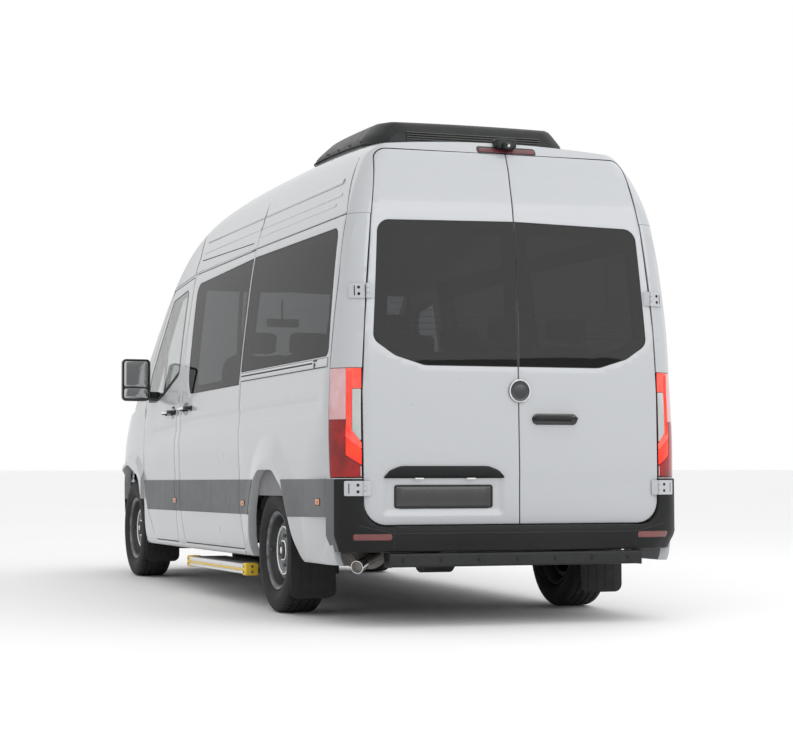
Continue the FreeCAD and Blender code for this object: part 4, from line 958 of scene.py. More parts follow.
def flare_points() -> Array:
    """Rings of extra points on the rear flare, closer together than the panel's grid."""
    angle = np.radians(np.linspace(-5, 188, 60))
    share = np.array([-14.0, 4, 14, 30, 60, 95, 130, 146, 156, 172])
    far = Arch.outer(np.degrees(angle))[None] - share[:, None]
    x = Arch.centre[0] - far * np.cos(angle)[None]
    z = Arch.centre[1] + far * np.sin(angle)[None]
    return np.stack([x, z], -1).reshape(-1, 2)


def line_points(low: float, high: float) -> Array:
    """Rows of extra points along the belt crease and the shoulder, from one x to another."""
    x = np.arange(low, high, 45.0)
    rows = []
    for drop in (-40, -20, -8, 0, 8, 18, 40, 65, 90, 110, 128, 150, 190):
        rows.append(np.stack([x, BELT_LINE(x) - drop], -1))
    return np.concatenate(rows)


def band_piece(shape: Shape) -> Draft:
    """One piece of the grey band, 5 mm proud of the side and 10 mm through."""
    return Trimmed(rounded(shape, 16), SideSkin(5.0), (), (45.0, 26.0), 10.0, 4.0, facing=-1.0).draft()


@dataclass
class BodySides:
    """The two side walls, the sliding door and the grey band along them."""

    def wall_outline(self) -> Array:
        """The left wall's edge: sill, cab door edge, roof line, rear corner, lamp and rear arch."""
        rear = [(SideSkin.around(float(PORTAL_EDGE(z)), z), z) for z in np.linspace(2141, 1328, 24)]
        under = [(SideSkin.around(848, 757), 757), (SideSkin.around(848, 640), 640)]
        low = [(-2790, 520), (-2790, 306)]
        front = [(1506, 306), (1506, 338), (1190, 338), (514, 338, 25), (546, 700), (550, 1000), (534, 1420),
                 (486, 1750), (472, 2118, 40), (1020, 2068), (1034, 2077.7), (480, 2129.7), (-900, 2141.7)]
        shape = front + rear + [(-2764, 1328), (-2791, 757)] + under + low + list(reversed(REAR_ARCH))
        return rounded(shape, 22.0)

    @staticmethod
    def slab(outline: Array, holes: tuple[Array, ...], extra: Array) -> Draft:
        """A trimmed slab of the left side."""
        return Trimmed(outline, SideSkin(), holes, (60.0, 34.0), PANEL, extra=extra, facing=-1.0).draft()

    def build(self) -> None:
        """Both walls and the sliding door, each over its own node, and the band."""
        slider_hole = rounded(grown(SLIDER, GAP), 22)
        quarter = rounded(QUARTER_GLASS, 22)
        window = rounded(SLIDER_GLASS, 22)
        extra = np.concatenate([flare_points(), line_points(-2790, -1100)])
        outline = self.wall_outline()
        left = self.slab(outline, (slider_hole, quarter), extra)
        put("side_wall_left", left, Look.PAINT, "chassis", ["body_side_left"])
        extra = np.concatenate([flare_points(), line_points(-2790, 500)])
        right = self.slab(outline, (window, quarter), extra)
        put("side_wall_right", right.mirrored(), Look.PAINT, "chassis", ["body_side_right"])
        door = self.slab(rounded(SLIDER, 22), (window,), line_points(-1090, 470))
        put("sliding_door_panel", door, Look.PAINT, "chassis", ["sliding_door"])
        self.band()

    def band(self) -> None:
        """The grey band: one piece a panel, level with its panel's edges."""
        top, low = CLAD_TOP, CLAD_LOW
        door = [(399, low, 3), (405, top, 3), (-1085.5, top, 3), (-1089, low, 3)]
        ahead = [(-1093, low, 3), (-1092, top, 3), (-1428, top, 3), (-1357, 600), (-1347, low, 3)]
        behind = [(-2022, top, 3), (-2760, top, 3), (-2764, low + 8, 3), (-2143, low, 3), (-2060, 690)]
        post = [(548, low, 3), (548, top, 3), (412, top, 3), (405, low, 3)]
        right_mid = [(548, low, 3), (548, top, 3), (-1428, top, 3), (-1357, 600), (-1347, low, 3)]
        for (side, change), shapes in zip(SIDES, ((post, ahead, behind, door), (right_mid, behind))):
            made = Draft()
            for shape in shapes:
                made.join(band_piece(shape))
            put("cladding_" + side, change(made), Look.CLAD, "chassis")


@dataclass
class CabDoors:
    """The panels of the two hinged cab doors, each with its length of the band."""

    def build(self) -> None:
        """Each door over its node."""
        hole = rounded(CAB_GLASS, 20)
        slab = Trimmed(rounded(CAB_DOOR, 20), SideSkin(), (hole,), (50.0, 30.0), PANEL,
                       extra=line_points(560, 1490), facing=-1.0).draft()
        band = [(552.5, CLAD_LOW, 3), (553, CLAD_TOP, 3), (1488, CLAD_TOP, 3), (1452, 660, 40),
                (1392, CLAD_LOW, 3)]
        strip = band_piece(band)
        for side, change in SIDES:
            body = "cab_door_" + side
            put("cab_door_panel_" + side, change(slab), Look.PAINT, body, [body])
            put("cab_door_band_" + side, change(strip), Look.CLAD, body)


@dataclass
class RearDoors:
    """The panels of the two rear doors, with their pressed lines and the plate recess."""

    def build(self) -> None:
        """Each panel over its node, its faces turned over because it is seen from behind."""
        y, z = np.meshgrid(np.arange(30, 764, 12.0), np.arange(544, 785, 9.0), indexing="ij")
        extra = np.stack([y, z], -1).reshape(-1, 2)
        for side, shape, pane, more in (("left", REAR_DOOR, REAR_GLASS, extra),
                                        ("right", on_right(REAR_DOOR), on_right(REAR_GLASS), None)):
            body = "rear_door_" + side
            slab = Trimmed(rounded(shape, 20), RearSkin(), (rounded(pane, 20),), (40.0, 30.0), PANEL,
                           extra=more)
            put("rear_door_panel_" + side, slab.draft().turned_over(), Look.PAINT, body, [body])


def facing_out(draft: Draft) -> Draft:
    """The closed draft, its faces turned over where its signed volume is below nought."""
    points = np.concatenate(draft.points)
    volume = 0.0
    for group in draft.faces:
        for k in range(1, group.shape[1] - 1):
            across = np.cross(points[group[:, k]], points[group[:, k + 1]])
            volume += float(np.sum(across * points[group[:, 0]]))
    return draft if volume > 0 else draft.turned_over()


def lathe(profile: Shape, origin: Sequence[float], axis: Sequence[float], count: int) -> Draft:
    """A turned profile with its faces outward."""
    return facing_out(turned(np.array(profile, float), origin, axis, count))


def rod(path: Array | Shape, radius: float, sides: int, squash: float = 1.0) -> Draft:
    """A round bar along a path with its faces outward."""
    return facing_out(tube(np.array(path, float), radius, sides, squash))


def ways(path: Array, closed: bool) -> Array:
    """The mitred side direction at each point of a path, outward for a counter-clockwise ring."""
    after = np.roll(path, -1, 0) - path
    before = path - np.roll(path, 1, 0)
    if not closed:
        after[-1], before[0] = before[-1], after[0]
    after /= np.linalg.norm(after, axis=1, keepdims=True)
    before /= np.linalg.norm(before, axis=1, keepdims=True)
    one = np.stack([after[:, 1], -after[:, 0]], -1)
    mean = one + np.stack([before[:, 1], -before[:, 0]], -1)
    mean /= np.linalg.norm(mean, axis=1, keepdims=True)
    return mean / np.maximum(np.sum(mean * one, 1, keepdims=True), 0.6)


def swept(path: Array, section: Array, skin: Surface, closed: bool = False) -> Draft:
    """A section carried along a path in the plane of a skin.

    Args:
        path: plane points of the path.
        section: closed loop of pairs, across the path and depth under the skin.
        skin: the surface that carries plane points and depths into space.
        closed: true where the path is a ring.

    Returns:
        The closed strip, faces outward.
    """
    p, s = np.asarray(path, float), np.asarray(section, float)
    side = ways(p, closed)
    u = p[:, :1] + side[:, :1] * s[None, :, 0]
    v = p[:, 1:] + side[:, 1:] * s[None, :, 0]
    grid = skin(u, v, np.broadcast_to(s[None, :, 1], u.shape))
    if not closed:
        ends = [np.repeat(grid[k:k + 1].mean(1, keepdims=True), len(s), 1) for k in (0, len(p) - 1)]
        grid = np.concatenate([ends[0], grid, ends[1]])
    made = Draft()
    made.add(grid, grid_faces(len(grid), len(s), wrap_rows=closed, wrap_columns=True))
    return facing_out(made)


def bead(half: float, proud: float, sunk: float = 1.0) -> Array:
    """A half-round section, proud of its skin and sunk a little into it."""
    turn = np.linspace(math.pi, 0, 7)
    top = np.stack([half * np.cos(turn), -proud * np.sin(turn)], -1)
    return np.concatenate([[(-half, sunk)], top, [(half, sunk)]])


def strap(half: float, proud: float, sunk: float = 1.0, bevel: float = 0.6) -> Array:
    """A flat section with broken edges."""
    return np.array([(-half, sunk), (-half, bevel - proud), (-half + bevel, -proud), (half - bevel, -proud),
                     (half, bevel - proud), (half, sunk)])


def line(*places: tuple[float, float], step: float = 40.0) -> Array:
    """An open path through places, its runs divided evenly."""
    p = np.array(places, float)
    out = []
    for a, b in zip(p, p[1:]):
        parts = max(1, math.ceil(float(np.linalg.norm(b - a)) / step))
        out.append(a + (b - a) * (np.arange(parts) / parts)[:, None])
    return np.concatenate(out + [p[-1:]])


@dataclass(frozen=True)
class Plane:
    """A flat skin: u along one direction, v along another, depth against their cross product."""

    origin: tuple[float, float, float]
    right: tuple[float, float, float] = (0.0, 1.0, 0.0)
    up: tuple[float, float, float] = (0.0, 0.0, 1.0)

    def __call__(self, u: Array, v: Array, depth: Array) -> Array:
        """Points of the plane, moved back by depth."""
        r = np.array(self.right, float) / np.linalg.norm(self.right)
        t = np.array(self.up, float) / np.linalg.norm(self.up)
        n = np.cross(r, t)
        u, v, depth = (np.asarray(a, float)[..., None] for a in (u, v, depth))
        return np.array(self.origin, float) + u * r + v * t - depth * n


def level(height: float) -> Plane:
    """A level plane at a height, u along x and v along y."""
    return Plane((0, 0, height), (1, 0, 0), (0, 1, 0))


def sheet(shape: Shape, skin: Surface, depth: float, roll: float = 1.0, holes: Sequence[Shape] = (),
          step: float = 30.0, fine: float = 14.0) -> Draft:
    """A trimmed plate of a shape on a skin, faces outward."""
    rings = tuple(rounded(h, fine) for h in holes)
    return facing_out(Trimmed(rounded(shape, fine), skin, rings, (step, step), depth, roll).draft())


def hexagon(radius: float, tall: float, origin: Sequence[float], axis: Sequence[float],
            washer: float = 0.0) -> Draft:
    """A bolt head with a broken top edge, on a washer where its radius is given."""
    head = turned(np.array([(-2, 0), (-2, radius), (tall * 0.75, radius), (tall, radius * 0.84), (tall, 0)]),
                  origin, axis, 6)
    made = facing_out(head)
    if washer:
        disc = np.array([(-2, 0), (-2, washer), (tall * 0.2, washer), (tall * 0.28, washer * 0.94),
                         (tall * 0.28, 0)])
        made.join(lathe(disc, origin, axis, 24))
    return made


def screw(radius: float, origin: Sequence[float], axis: Sequence[float]) -> Draft:
    """A low domed screw head with a hollow drive in its middle."""
    profile = [(-1.5, 0), (-1.5, radius), (radius * 0.12, radius), (radius * 0.34, radius * 0.86),
               (radius * 0.46, radius * 0.5), (radius * 0.1, radius * 0.4), (radius * 0.1, 0)]
    return lathe(profile, origin, axis, 16)


def joined(*drafts: Draft) -> Draft:
    """Several drafts as one."""
    made = Draft()
    for draft in drafts:
        made.join(draft)
    return made


def strips(section: Array, skin: Surface, *runs: Sequence[tuple[float, float]], step: float = 40.0) -> Draft:
    """A section carried along several open paths."""
    return joined(*(swept(line(*places, step=step), section, skin) for places in runs))


def crossing(section: Array, skin: Surface, reaches: Sequence[tuple[float, float]], step: float) -> Draft:
    """A section carried straight across, once for each height and half length."""
    return strips(section, skin, *(((-half, z), (half, z)) for z, half in reaches), step=step)


def slab_block(low: Sequence[float], high: Sequence[float], radius: float) -> Draft:
    """A rounded block, faces outward."""
    return facing_out(block(low, high, radius))


def behind_glass(draft: Draft) -> Draft:
    """A draft moved inward from the side skin, behind the panes."""
    return draft.moved(lambda p: p - np.array([0, GLASS_BACK, 0]))


@dataclass
class SideTrim:
    """What lies on the sides: roof ribs, gutters, seams, glass borders, rail cover, handles, markers."""

    def build(self) -> None:
        """Every strip and fitting, on both sides where both have it."""
        self.roof_lines()
        self.borders()
        self.seams()
        self.rail()
        self.handles()
        self.markers()

    def roof_lines(self) -> None:
        """Pressed ribs of the high roof, the gutters under it, and the seams."""
        skin = SideSkin()
        rib = Draft()
        for z, low, high, wide, proud in ((2352, -2500, 400, 15, 5.0), (2220, -2500, -1150, 9, 2.5),
                                          (2270, -2560, 380, 8, 2.2)):
            for x0, x1 in ((low, -1020), (-985, high)):
                if x1 - x0 > 60:
                    rib.join(swept(line((x0, z), (x1, z)), bead(wide, proud), skin))
        put("roof_ribs", rib.both_sides(), Look.PAINT, "chassis", sharp=60)
        drip = strips(bead(5.5, 5.0), skin, ((-2730, 2152), (-1000, 2152)), ((-985, 2152), (440, 2144)))
        drip.join(strips(bead(5.0, 4.0), skin, ((480, 2138), (1010, 2090))))
        put("roof_gutters", drip.both_sides(), Look.PAINT, "chassis", sharp=60)
        slot = strips(strap(3.2, 0.5), skin, ((-905, 2189), (386, 2215)))
        slot.join(strips(strap(1.6, 0.5), skin, ((-2740, 2143.6), (-906, 2143.6))))
        slot.join(strips(strap(1.8, 0.5), skin, ((-1000, 2150), (-1000, 2300), (-930, 2440)),
                         ((505, 2136), (480, 2250), (560, 2400))))
        slot.join(strips(strap(1.6, 0.5), skin, ((-2580, 2470), (-2668, 2300), (-2745, 2146)),
                         ((-2745, 2143), (-2768, 1800), (-2766, 1329))))
        put("roof_seams", slot.both_sides(), Look.SEAM, "chassis")

    def borders(self) -> None:
        """Black borders and the division post behind the panes, and rubber round them."""
        skin = SideSkin()
        quarter = sheet(grown(QUARTER_GLASS, -0.5), skin, 13.0, 0.5, [grown(QUARTER_GLASS, -46)], 60, 30)
        slider = sheet(grown(SLIDER_GLASS, -0.5), skin, 13.0, 0.5, [grown(SLIDER_GLASS, -46)], 60, 30)
        put("cabin_glass_borders", behind_glass(joined(quarter, slider)).both_sides(), Look.FRIT, "chassis")
        ring = joined(*(swept(rounded(grown(s, 0.2), 40), strap(2.4, 0.7, 2.0), skin, True)
                        for s in (QUARTER_GLASS, SLIDER_GLASS)))
        put("cabin_glass_seals", ring.both_sides(), Look.SEAM, "chassis")
        frame = sheet(grown(CAB_GLASS, -0.5), skin, 13.0, 0.5, [grown(CAB_GLASS, -34)], 60, 30)
        post = sheet([(985, 1338, 2), (1035, 1326, 2), (1120, 1960, 2), (1062, 1985, 2)], skin, 8.0, 1.0, (),
                     40, 30)
        behind = behind_glass(joined(frame, post))
        ring = swept(rounded(grown(CAB_GLASS, 0.2), 30), strap(3.2, 0.9, 2.0), skin, True)
        wiper = swept(line((606, 1474), (985, 1352), (1200, 1311), (1440, 1318)), strap(7, 2.2, 1.0, 1.2),
                      skin)
        for side, change in SIDES:
            body = "cab_door_" + side
            put("cab_glass_border_" + side, change(behind), Look.FRIT, body)
            put("cab_glass_seal_" + side, change(joined(ring, wiper)), Look.SEAM, body)

    def seams(self) -> None:
        """Dark rubber deep in the gaps round the side doors, and the sill mouldings."""
        skin = SideSkin()
        slot = swept(rounded(grown(SLIDER, GAP / 2), 40), strap(2.7, -3.0, 16.0), skin, True)
        put("sliding_door_seal", slot, Look.SEAM, "chassis")
        cab = swept(rounded(grown(CAB_DOOR, GAP / 2), 40), strap(2.6, -4.0, 18.0), skin, True)
        put("cab_door_seals", cab.both_sides(), Look.SEAM, "chassis")
        sill = swept(line((1180, 318), (-1130, 318)), bead(13, 4.0), skin)
        put("sill_mouldings", sill.both_sides(), Look.PAINT, "chassis", sharp=60)

    def rail(self) -> None:
        """The cover of the sliding door's rail, dark strips on it painted as the shade in its slots and along
        its upper edge, and its end fitting.
        """
        skin = SideSkin()
        cover = swept(line((-2732, 1360), (-1034, 1360), step=60), strap(25.5, 4.0, 1.0, 3.0), skin)
        put("door_rail_cover", cover, Look.PAINT, "chassis", sharp=50)
        # Dark strips standing on the cover: painted shade for its open slots and for the gap along its upper
        # edge.
        slots = strips(strap(2.6, 4.6, -3.0), skin, ((-2722, 1338), (-1046, 1338)), step=60)
        slots.join(strips(strap(4.6, 4.6, -3.0), skin, ((-2480, 1368), (-1046, 1368)), step=60))
        slots.join(strips(strap(1.4, 1.2), skin, ((-2728, 1386.5), (-1030, 1386.5)), step=60))
        put("door_rail_slot_shade", slots, Look.SEAM, "chassis")
        knob = lathe([(-4, 0), (-4, 17), (7, 17), (9, 14), (9, 8), (6, 7), (6, 0)], (-2520, 981, 1352),
                     (0, 1, 0), 28)
        knob.join(slab_block((-2562, 977, 1336), (-2488, 986, 1384), 3.0))
        put("door_rail_end", knob, Look.BLACK, "chassis")

    def handles(self) -> None:
        """A flat black dish on the skin, painted shade where a round recess would be, and a grip over it on
        each cab door and on the sliding door.
        """
        for name, body, x0, x1, z, both in (("cab", "cab_door_", 579.0, 867.0, 1207.0, True),
                                            ("sliding", "chassis", 134.0, 386.0, 1220.0, False)):
            y = float(side_y(z)) - 2.0
            middle = x0 + 88 if name == "cab" else x1 - 88
            # The cup is a flat black dish 1.2 mm proud of the skin: painted shade standing for the recess
            # behind the grip.
            cup = sheet(oblong(middle - 62, z - 42, middle + 62, z + 42, 40), SideSkin(1.2), 4.0, 1.0)
            path = [(x0 + 12, y + 1, z), (x0 + 22, y + 26, z + 1), (x0 + 60, y + 36, z + 2),
                    ((x0 + x1) / 2, y + 38, z + 2), (x1 - 60, y + 36, z + 1), (x1 - 22, y + 25, z),
                    (x1 - 12, y + 1, z)]
            grip = rod(spline_path(path, 6), 13.5, 14, 0.9)
            feet = joined(*(slab_block((a - 19, y - 2, z - 17), (a + 19, y + 10, z + 17), 7)
                            for a in (x0 + 18, x1 - 18)))
            cap = slab_block(((x0 + x1) / 2 - 70, y + 45.5, z - 7), ((x0 + x1) / 2 + 70, y + 53, z + 11), 3.5)
            lock = lathe([(-2, 0), (-2, 9), (4, 9), (5, 7.5), (5, 0)], (x1 - 20, y + 12, z), (0, 1, 0), 20)
            for side, change in SIDES if both else SIDES[:1]:
                holder = body + side if both else body
                put(name + "_handle_shade_dish_" + side, change(cup), Look.GLOSS, holder)
                put(name + "_handle_grip_" + side, change(joined(grip, feet)), Look.BLACK, holder)
                put(name + "_handle_trim_" + side, change(joined(cap, lock)), Look.BRIGHT, holder)

    def markers(self) -> None:
        """Amber side markers on the grey band."""
        for k, (x, z) in enumerate(((542, 615), (-1172, 612), (-2652, 633))):
            shape = oblong(x - 37, z - 19, x + 37, z + 19, 12)
            lens = sheet(grown(shape, -4), SideSkin(10.5), 8.0, 3.0, (), 12, 6)
            base = sheet(shape, SideSkin(8.0), 8.0, 2.0, [grown(shape, -6)], 12, 6)
            dot = lathe([(-3, 0), (-3, 12), (2, 10), (3.4, 6), (3.8, 0)], (x, float(side_y(z)) + 9.5, z),
                        (0, 1, 0), 20)
            put("marker_lenses_%d" % k, lens.both_sides(), Look.AMBER, "chassis")
            put("marker_bases_%d" % k, base.both_sides(), Look.BLACK, "chassis")
            put("marker_bulbs_%d" % k, dot.both_sides(), Look.AMBER_DEEP, "chassis")


LAMP_PARTS = {
    "pale": (Look.TAIL_CLEAR, [(-2767, 1325, 8), (-2872, 1325, 3), (-2886, 1060, 3), (-2781, 1060, 3)]),
    "lit": (Look.TAIL_LIT, [(-2874, 1325, 3), (-2954, 1325, 6), (-2958, 1221, 3), (-2908, 1221, 5),
                            (-2919, 1004, 8), (-2972, 939, 3), (-2973, 906, 3), (-2887, 970, 3),
                            (-2888, 1058, 3)]),
    "reversing": (Look.TAIL_REVERSE, [(-2911, 1218, 5), (-2957, 1218, 5), (-2971, 943, 5), (-2922, 1002, 8)]),
    "hot": (Look.TAIL_HOT, [(-2889, 967, 3), (-2973, 903, 3), (-2973, 825, 3), (-2890, 877, 3)]),
    "deep": (Look.TAIL_DEEP, [(-2781, 1058, 3), (-2886, 1057, 3), (-2887, 875, 3), (-2965, 822, 3),
                              (-2965, 762, 8), (-2793, 762, 8)]),
    "edge": (Look.TAIL_CLEAR, oblong(-2967, 819, -2973, 764, 2)),
}


@dataclass
class RearLamps:
    """The segmented tail lamps, and the high brake lamp with its camera."""

    def build(self) -> None:
        """Every lens with its dark backing and ribs."""
        whole = [(-2766, 1325.5, 8), (-2955, 1325.5, 6), (-2959, 1216, 0), (-2974, 938, 0), (-2974, 761, 8),
                 (-2793, 761, 8)]
        back = sheet(whole, SideSkin(-2.5), 19.0, 2.0, (), 24, 14)
        put("tail_lamp_housings", back.both_sides(), Look.TAIL_BACK, "chassis", ["tail_lamps"])
        for name, (look, shape) in LAMP_PARTS.items():
            lens = sheet(shape, SideSkin(), 2.2, 1.4, (), 9, 9)
            put("tail_lamp_" + name, lens.both_sides(), look, "chassis")
        guide = Draft()
        for shift in (8.0, 17.0, 26.0):
            path = line((-2875 - shift, 1312), (-2888 - shift * 0.9, 1000 - shift * 0.6), step=14)
            guide.join(swept(path, bead(2.2, 1.6, 0.4), SideSkin()))
        put("tail_lamp_guides", guide.both_sides(), Look.TAIL_HOT, "chassis")
        skin = RearSkin(6.0)
        lens = sheet([(124, 2513, 9), (-205, 2513, 9), (-205, 2541, 11), (124, 2541, 11)], skin, 10.0, 4.0,
                     (), 14, 9)
        put("high_brake_lens", lens, Look.HIGH_STOP, "chassis")
        frame = swept(rounded([(128, 2509, 12), (-209, 2509, 12), (-209, 2545, 14), (128, 2545, 14)], 14),
                      bead(4, 4.5, 8), RearSkin(), True)
        put("high_brake_frame", frame, Look.GLOSS, "chassis")
        eye = slab_block((-2745, -92, 2536), (-2668, 28, 2592), 16)
        eye.join(slab_block((-2770, -60, 2530), (-2720, -4, 2566), 12))
        put("rear_camera_housing", eye, Look.BLACK, "chassis")
        rim = lathe([(-6, 0), (-6, 15), (3, 15), (5, 12), (3, 10), (3, 0)], (-2770, -32, 2547),
                    (-0.93, 0, -0.37), 28)
        put("rear_camera_rim", rim, Look.GLOSS, "chassis")
        lens = lathe([(-2, 0), (-2, 9.5), (2, 9), (5, 6), (6.2, 0)], (-2772, -32, 2546), (-0.93, 0, -0.37),
                     24)
        put("rear_camera_lens", lens, Look.MIRROR, "chassis")


@dataclass(frozen=True)
class BumperSkin:
    """The rear bumper's outer face: u runs round its plan from the centre, v is the height."""

    proud: float = 0.0

    @staticmethod
    def plan() -> tuple[Array, Array]:
        """The half plan as points and the length run to each."""
        shape = [(-2962, 0), (-2960, 300), (-2954, 520), (-2944, 700), (-2931, 800), (-2911, 874),
                 (-2880, 929), (-2842, 968), (-2806, 990), (-2784, 999), (-2762, 1005)]
        path = spline_path(np.array([(x, y, 0.0) for x, y in shape]), 12)[:, :2]
        run = np.concatenate([[0], np.cumsum(np.linalg.norm(np.diff(path, axis=0), axis=1))])
        return path, run

    def __call__(self, u: Array, v: Array, depth: Array) -> Array:
        """Plan points moved back by depth, more below 470 mm, along the middle above it and near the ends."""
        path, run = self.plan()
        far = np.abs(u)
        here, ahead, behind = (
            np.stack([np.interp(at, run, path[:, 0]), np.interp(at, run, path[:, 1])], -1)
            for at in (far, far + 2.0, far - 2.0)
        )
        x, y = here[..., 0], here[..., 1]
        along = ahead - behind
        along = along / np.maximum(np.linalg.norm(along, axis=-1, keepdims=True), 1e-9)
        upper = 9.0 * ease((v - 498) / 60) * ease((far - 700) / 100) * ease((940 - far) / 80)
        lower = (16.0 + 22.0 * ease((far - 760) / 160)) * ease((470 - v) / 100)
        ledge = 5.0 * ease((v - 470) / 34) * ease((820 - far) / 80)
        back = upper + lower + ledge
        inward = depth - self.proud + back
        x = x + along[..., 1] * inward
        y = y - along[..., 0] * inward
        y = y * np.where(far < 1e-6, 0, 1)
        return np.stack([x, np.sign(u) * y, v], -1)


@dataclass
class RearEnd:
    """The rear bumper, the bar under it, reflectors, mud flaps and the exhaust's tip."""

    def build(self) -> None:
        """Every piece of the lower rear."""
        skin = BumperSkin()
        length = float(BumperSkin.plan()[1][-1])
        seam = length - 70
        corner = 850.0
        main = [(-seam, 374, 6), (seam, 374, 6), (seam, 752, 4), (corner, 752, 6), (corner, 510, 118),
                (corner - 130, 505, 8), (-corner + 130, 505, 8), (-corner, 510, 118), (-corner, 752, 6),
                (-seam, 752, 4)]
        bumper = sheet(main, skin, 34.0, 9.0, (), 30, 22)
        put("bumper_main", bumper, Look.BUMPER, "chassis", ["rear_bumper"], sharp=50)
        ends = sheet(oblong(seam + 2, 374, length - 1, 752, 4), skin, 30.0, 4.0, (), 26, 22)
        put("bumper_ends", ends.both_sides(), Look.CLAD, "chassis")
        step_top = sheet([(-2942, -690, 20), (-2942, 690, 20), (-2908, 690, 8), (-2908, -690, 8)],
                         level(507.0), 7.0, 1.5, (), 30, 22)
        put("bumper_step", step_top, Look.BLACK, "chassis")
        ribs = Draft()
        for x in (-2936, -2929, -2922, -2915):
            ribs.join(swept(line((x, -660), (x, 660), step=80), bead(1.5, 1.2), level(507.0)))
        put("bumper_step_ribs", ribs, Look.BLACK, "chassis", sharp=60)
        lines = Draft()
        for y in (690, -690):
            lines.join(swept(line((y, 378), (y, 500), step=20), strap(1.6, 0.4), BumperSkin()))
        path = line((-880, 512), (-690, 470), (690, 470), (880, 512), step=25)
        lines.join(swept(path, bead(3, 1.8), BumperSkin()))
        put("bumper_seams", lines, Look.SEAM, "chassis")
        for name, low, high in (("left", 702, 905), ("right", -902, -700)):
            shape = oblong(low, 436, high, 468, 10)
            put("reflector_" + name, sheet(shape, BumperSkin(2.5), 5.0, 2.0, (), 14, 9), Look.REFLECTOR,
                "chassis")
            rim = swept(rounded(grown(shape, 2), 14), bead(2.4, 2.2), BumperSkin(), True)
            put("reflector_frame_" + name, rim, Look.BLACK, "chassis")
        self.bar()
        self.flaps()

    def bar(self) -> None:
        """Bolts and end caps of the underride bar, the exhaust's bright tip and its silencer's bands."""
        made = Draft()
        for y in (-640, -430, -215, 0, 215, 430, 640):
            made.join(hexagon(9, 7, (-2950.5, y, 332), (-1, 0, 0), 13))
        put("underride_bolts", made, Look.BLACK, "chassis")
        caps = joined(*(slab_block((-2952, s * 712 - 6, 294), (-2858, s * 712 + 6, 370), 4) for s in (1, -1)))
        put("underride_caps", caps, Look.BLACK, "chassis")
        way = np.array([-0.72, 0.66, -0.2]) / np.linalg.norm([-0.72, 0.66, -0.2])
        tip = np.array([-2690, 700, 350]) + way * 180
        rim = turned(np.array([(0, 28.5), (0, 33), (74, 35), (78, 34), (78, 31), (74, 29.5), (4, 28.6)]), tip,
                     way, 36)
        rim.join(turned(np.array([(0, 28.6), (0, 28.5)]), tip, way, 36))
        put("exhaust_tip", facing_out(rim), Look.BRIGHT, "chassis")
        bands = Draft()
        for x in (-2690, -2640, -2450, -2265, -2215):
            bands.join(lathe([(0, 98), (0, 104), (2, 106), (12, 106), (14, 104), (14, 98)], (x, 735, 385),
                             (1, 0, 0), 40))
        put("silencer_bands", bands, Look.EXHAUST, "chassis")

    def flaps(self) -> None:
        """Four rubber flaps with rounded lower corners, ribs and their clamp strips."""
        made, clamps = Draft(), Draft()
        for x, y0, y1, z0, z1 in ((-2118.0, 738.5, 999.5, 99, 488), (1513.0, 745.5, 984.5, 171, 479)):
            skin = Plane((x - 3.0, 0, 0), (0, -1, 0))
            shape = [(-y1, z0, 45), (-y0, z0, 45), (-y0, z1, 4), (-y1, z1, 4)]
            made.join(sheet(shape, skin, 6.0, 1.6, (), 30, 14))
            for share in (0.2, 0.4, 0.6, 0.8):
                y = y0 + (y1 - y0) * share
                made.join(swept(line((-y, z0 + 24), (-y, z1 - 60), step=30), bead(4, 2.2), skin))
            clamps.join(slab_block((x - 8, y0 + 8, z1 - 26), (x + 6, y1 - 8, z1 - 4), 3))
            for share in (0.15, 0.5, 0.85):
                clamps.join(hexagon(6, 5, (x - 8, y0 + (y1 - y0) * share, z1 - 15), (-1, 0, 0), 9))
        put("mud_flap_sheets", made.both_sides(), Look.FLAP, "chassis", ["mud_flaps"], sharp=50)
        put("mud_flap_clamps", clamps.both_sides(), Look.CAST, "chassis")


def resampled(ring: Array, count: int) -> Array:
    """A closed ring of points at even steps."""
    closed = np.concatenate([ring, ring[:1]])
    run = np.concatenate([[0], np.cumsum(np.linalg.norm(np.diff(closed, axis=0), axis=1))])
    at = np.linspace(0, run[-1], count, endpoint=False)
    return np.stack([np.interp(at, run, closed[:, k]) for k in range(ring.shape[1])], -1)


def lofted(rings: Sequence[Array]) -> Draft:
    """A closed skin over rings of the same count, its two ends capped to their centres."""
    grid = np.stack(rings)
    ends = [np.repeat(grid[k:k + 1].mean(1, keepdims=True), grid.shape[1], 1) for k in (0, len(rings) - 1)]
    made = Draft()
    faces = grid_faces(len(rings) + 2, grid.shape[1], wrap_columns=True)
    made.add(np.concatenate([ends[0], grid, ends[1]]), faces)
    return facing_out(made)


def shell_of(plan: Shape, low: float, high: float, edge: float, count: int = 72) -> Draft:
    """A block of a plan outline between two heights, its upper and lower edges rolled."""
    rings = []
    for angle in np.linspace(0, 90, 6):
        shrink = edge * (1 - math.sin(math.radians(angle)))
        rings.append((low + edge * (1 - math.cos(math.radians(angle))), shrink))
    levels = rings + [(high + low - z, s) for z, s in reversed(rings)]
    made = []
    for z, shrink in levels:
        ring = resampled(rounded(grown(plan, -shrink, 3.0), 30), count)
        made.append(np.column_stack([ring, np.full(count, z)]))
    return lofted(made)


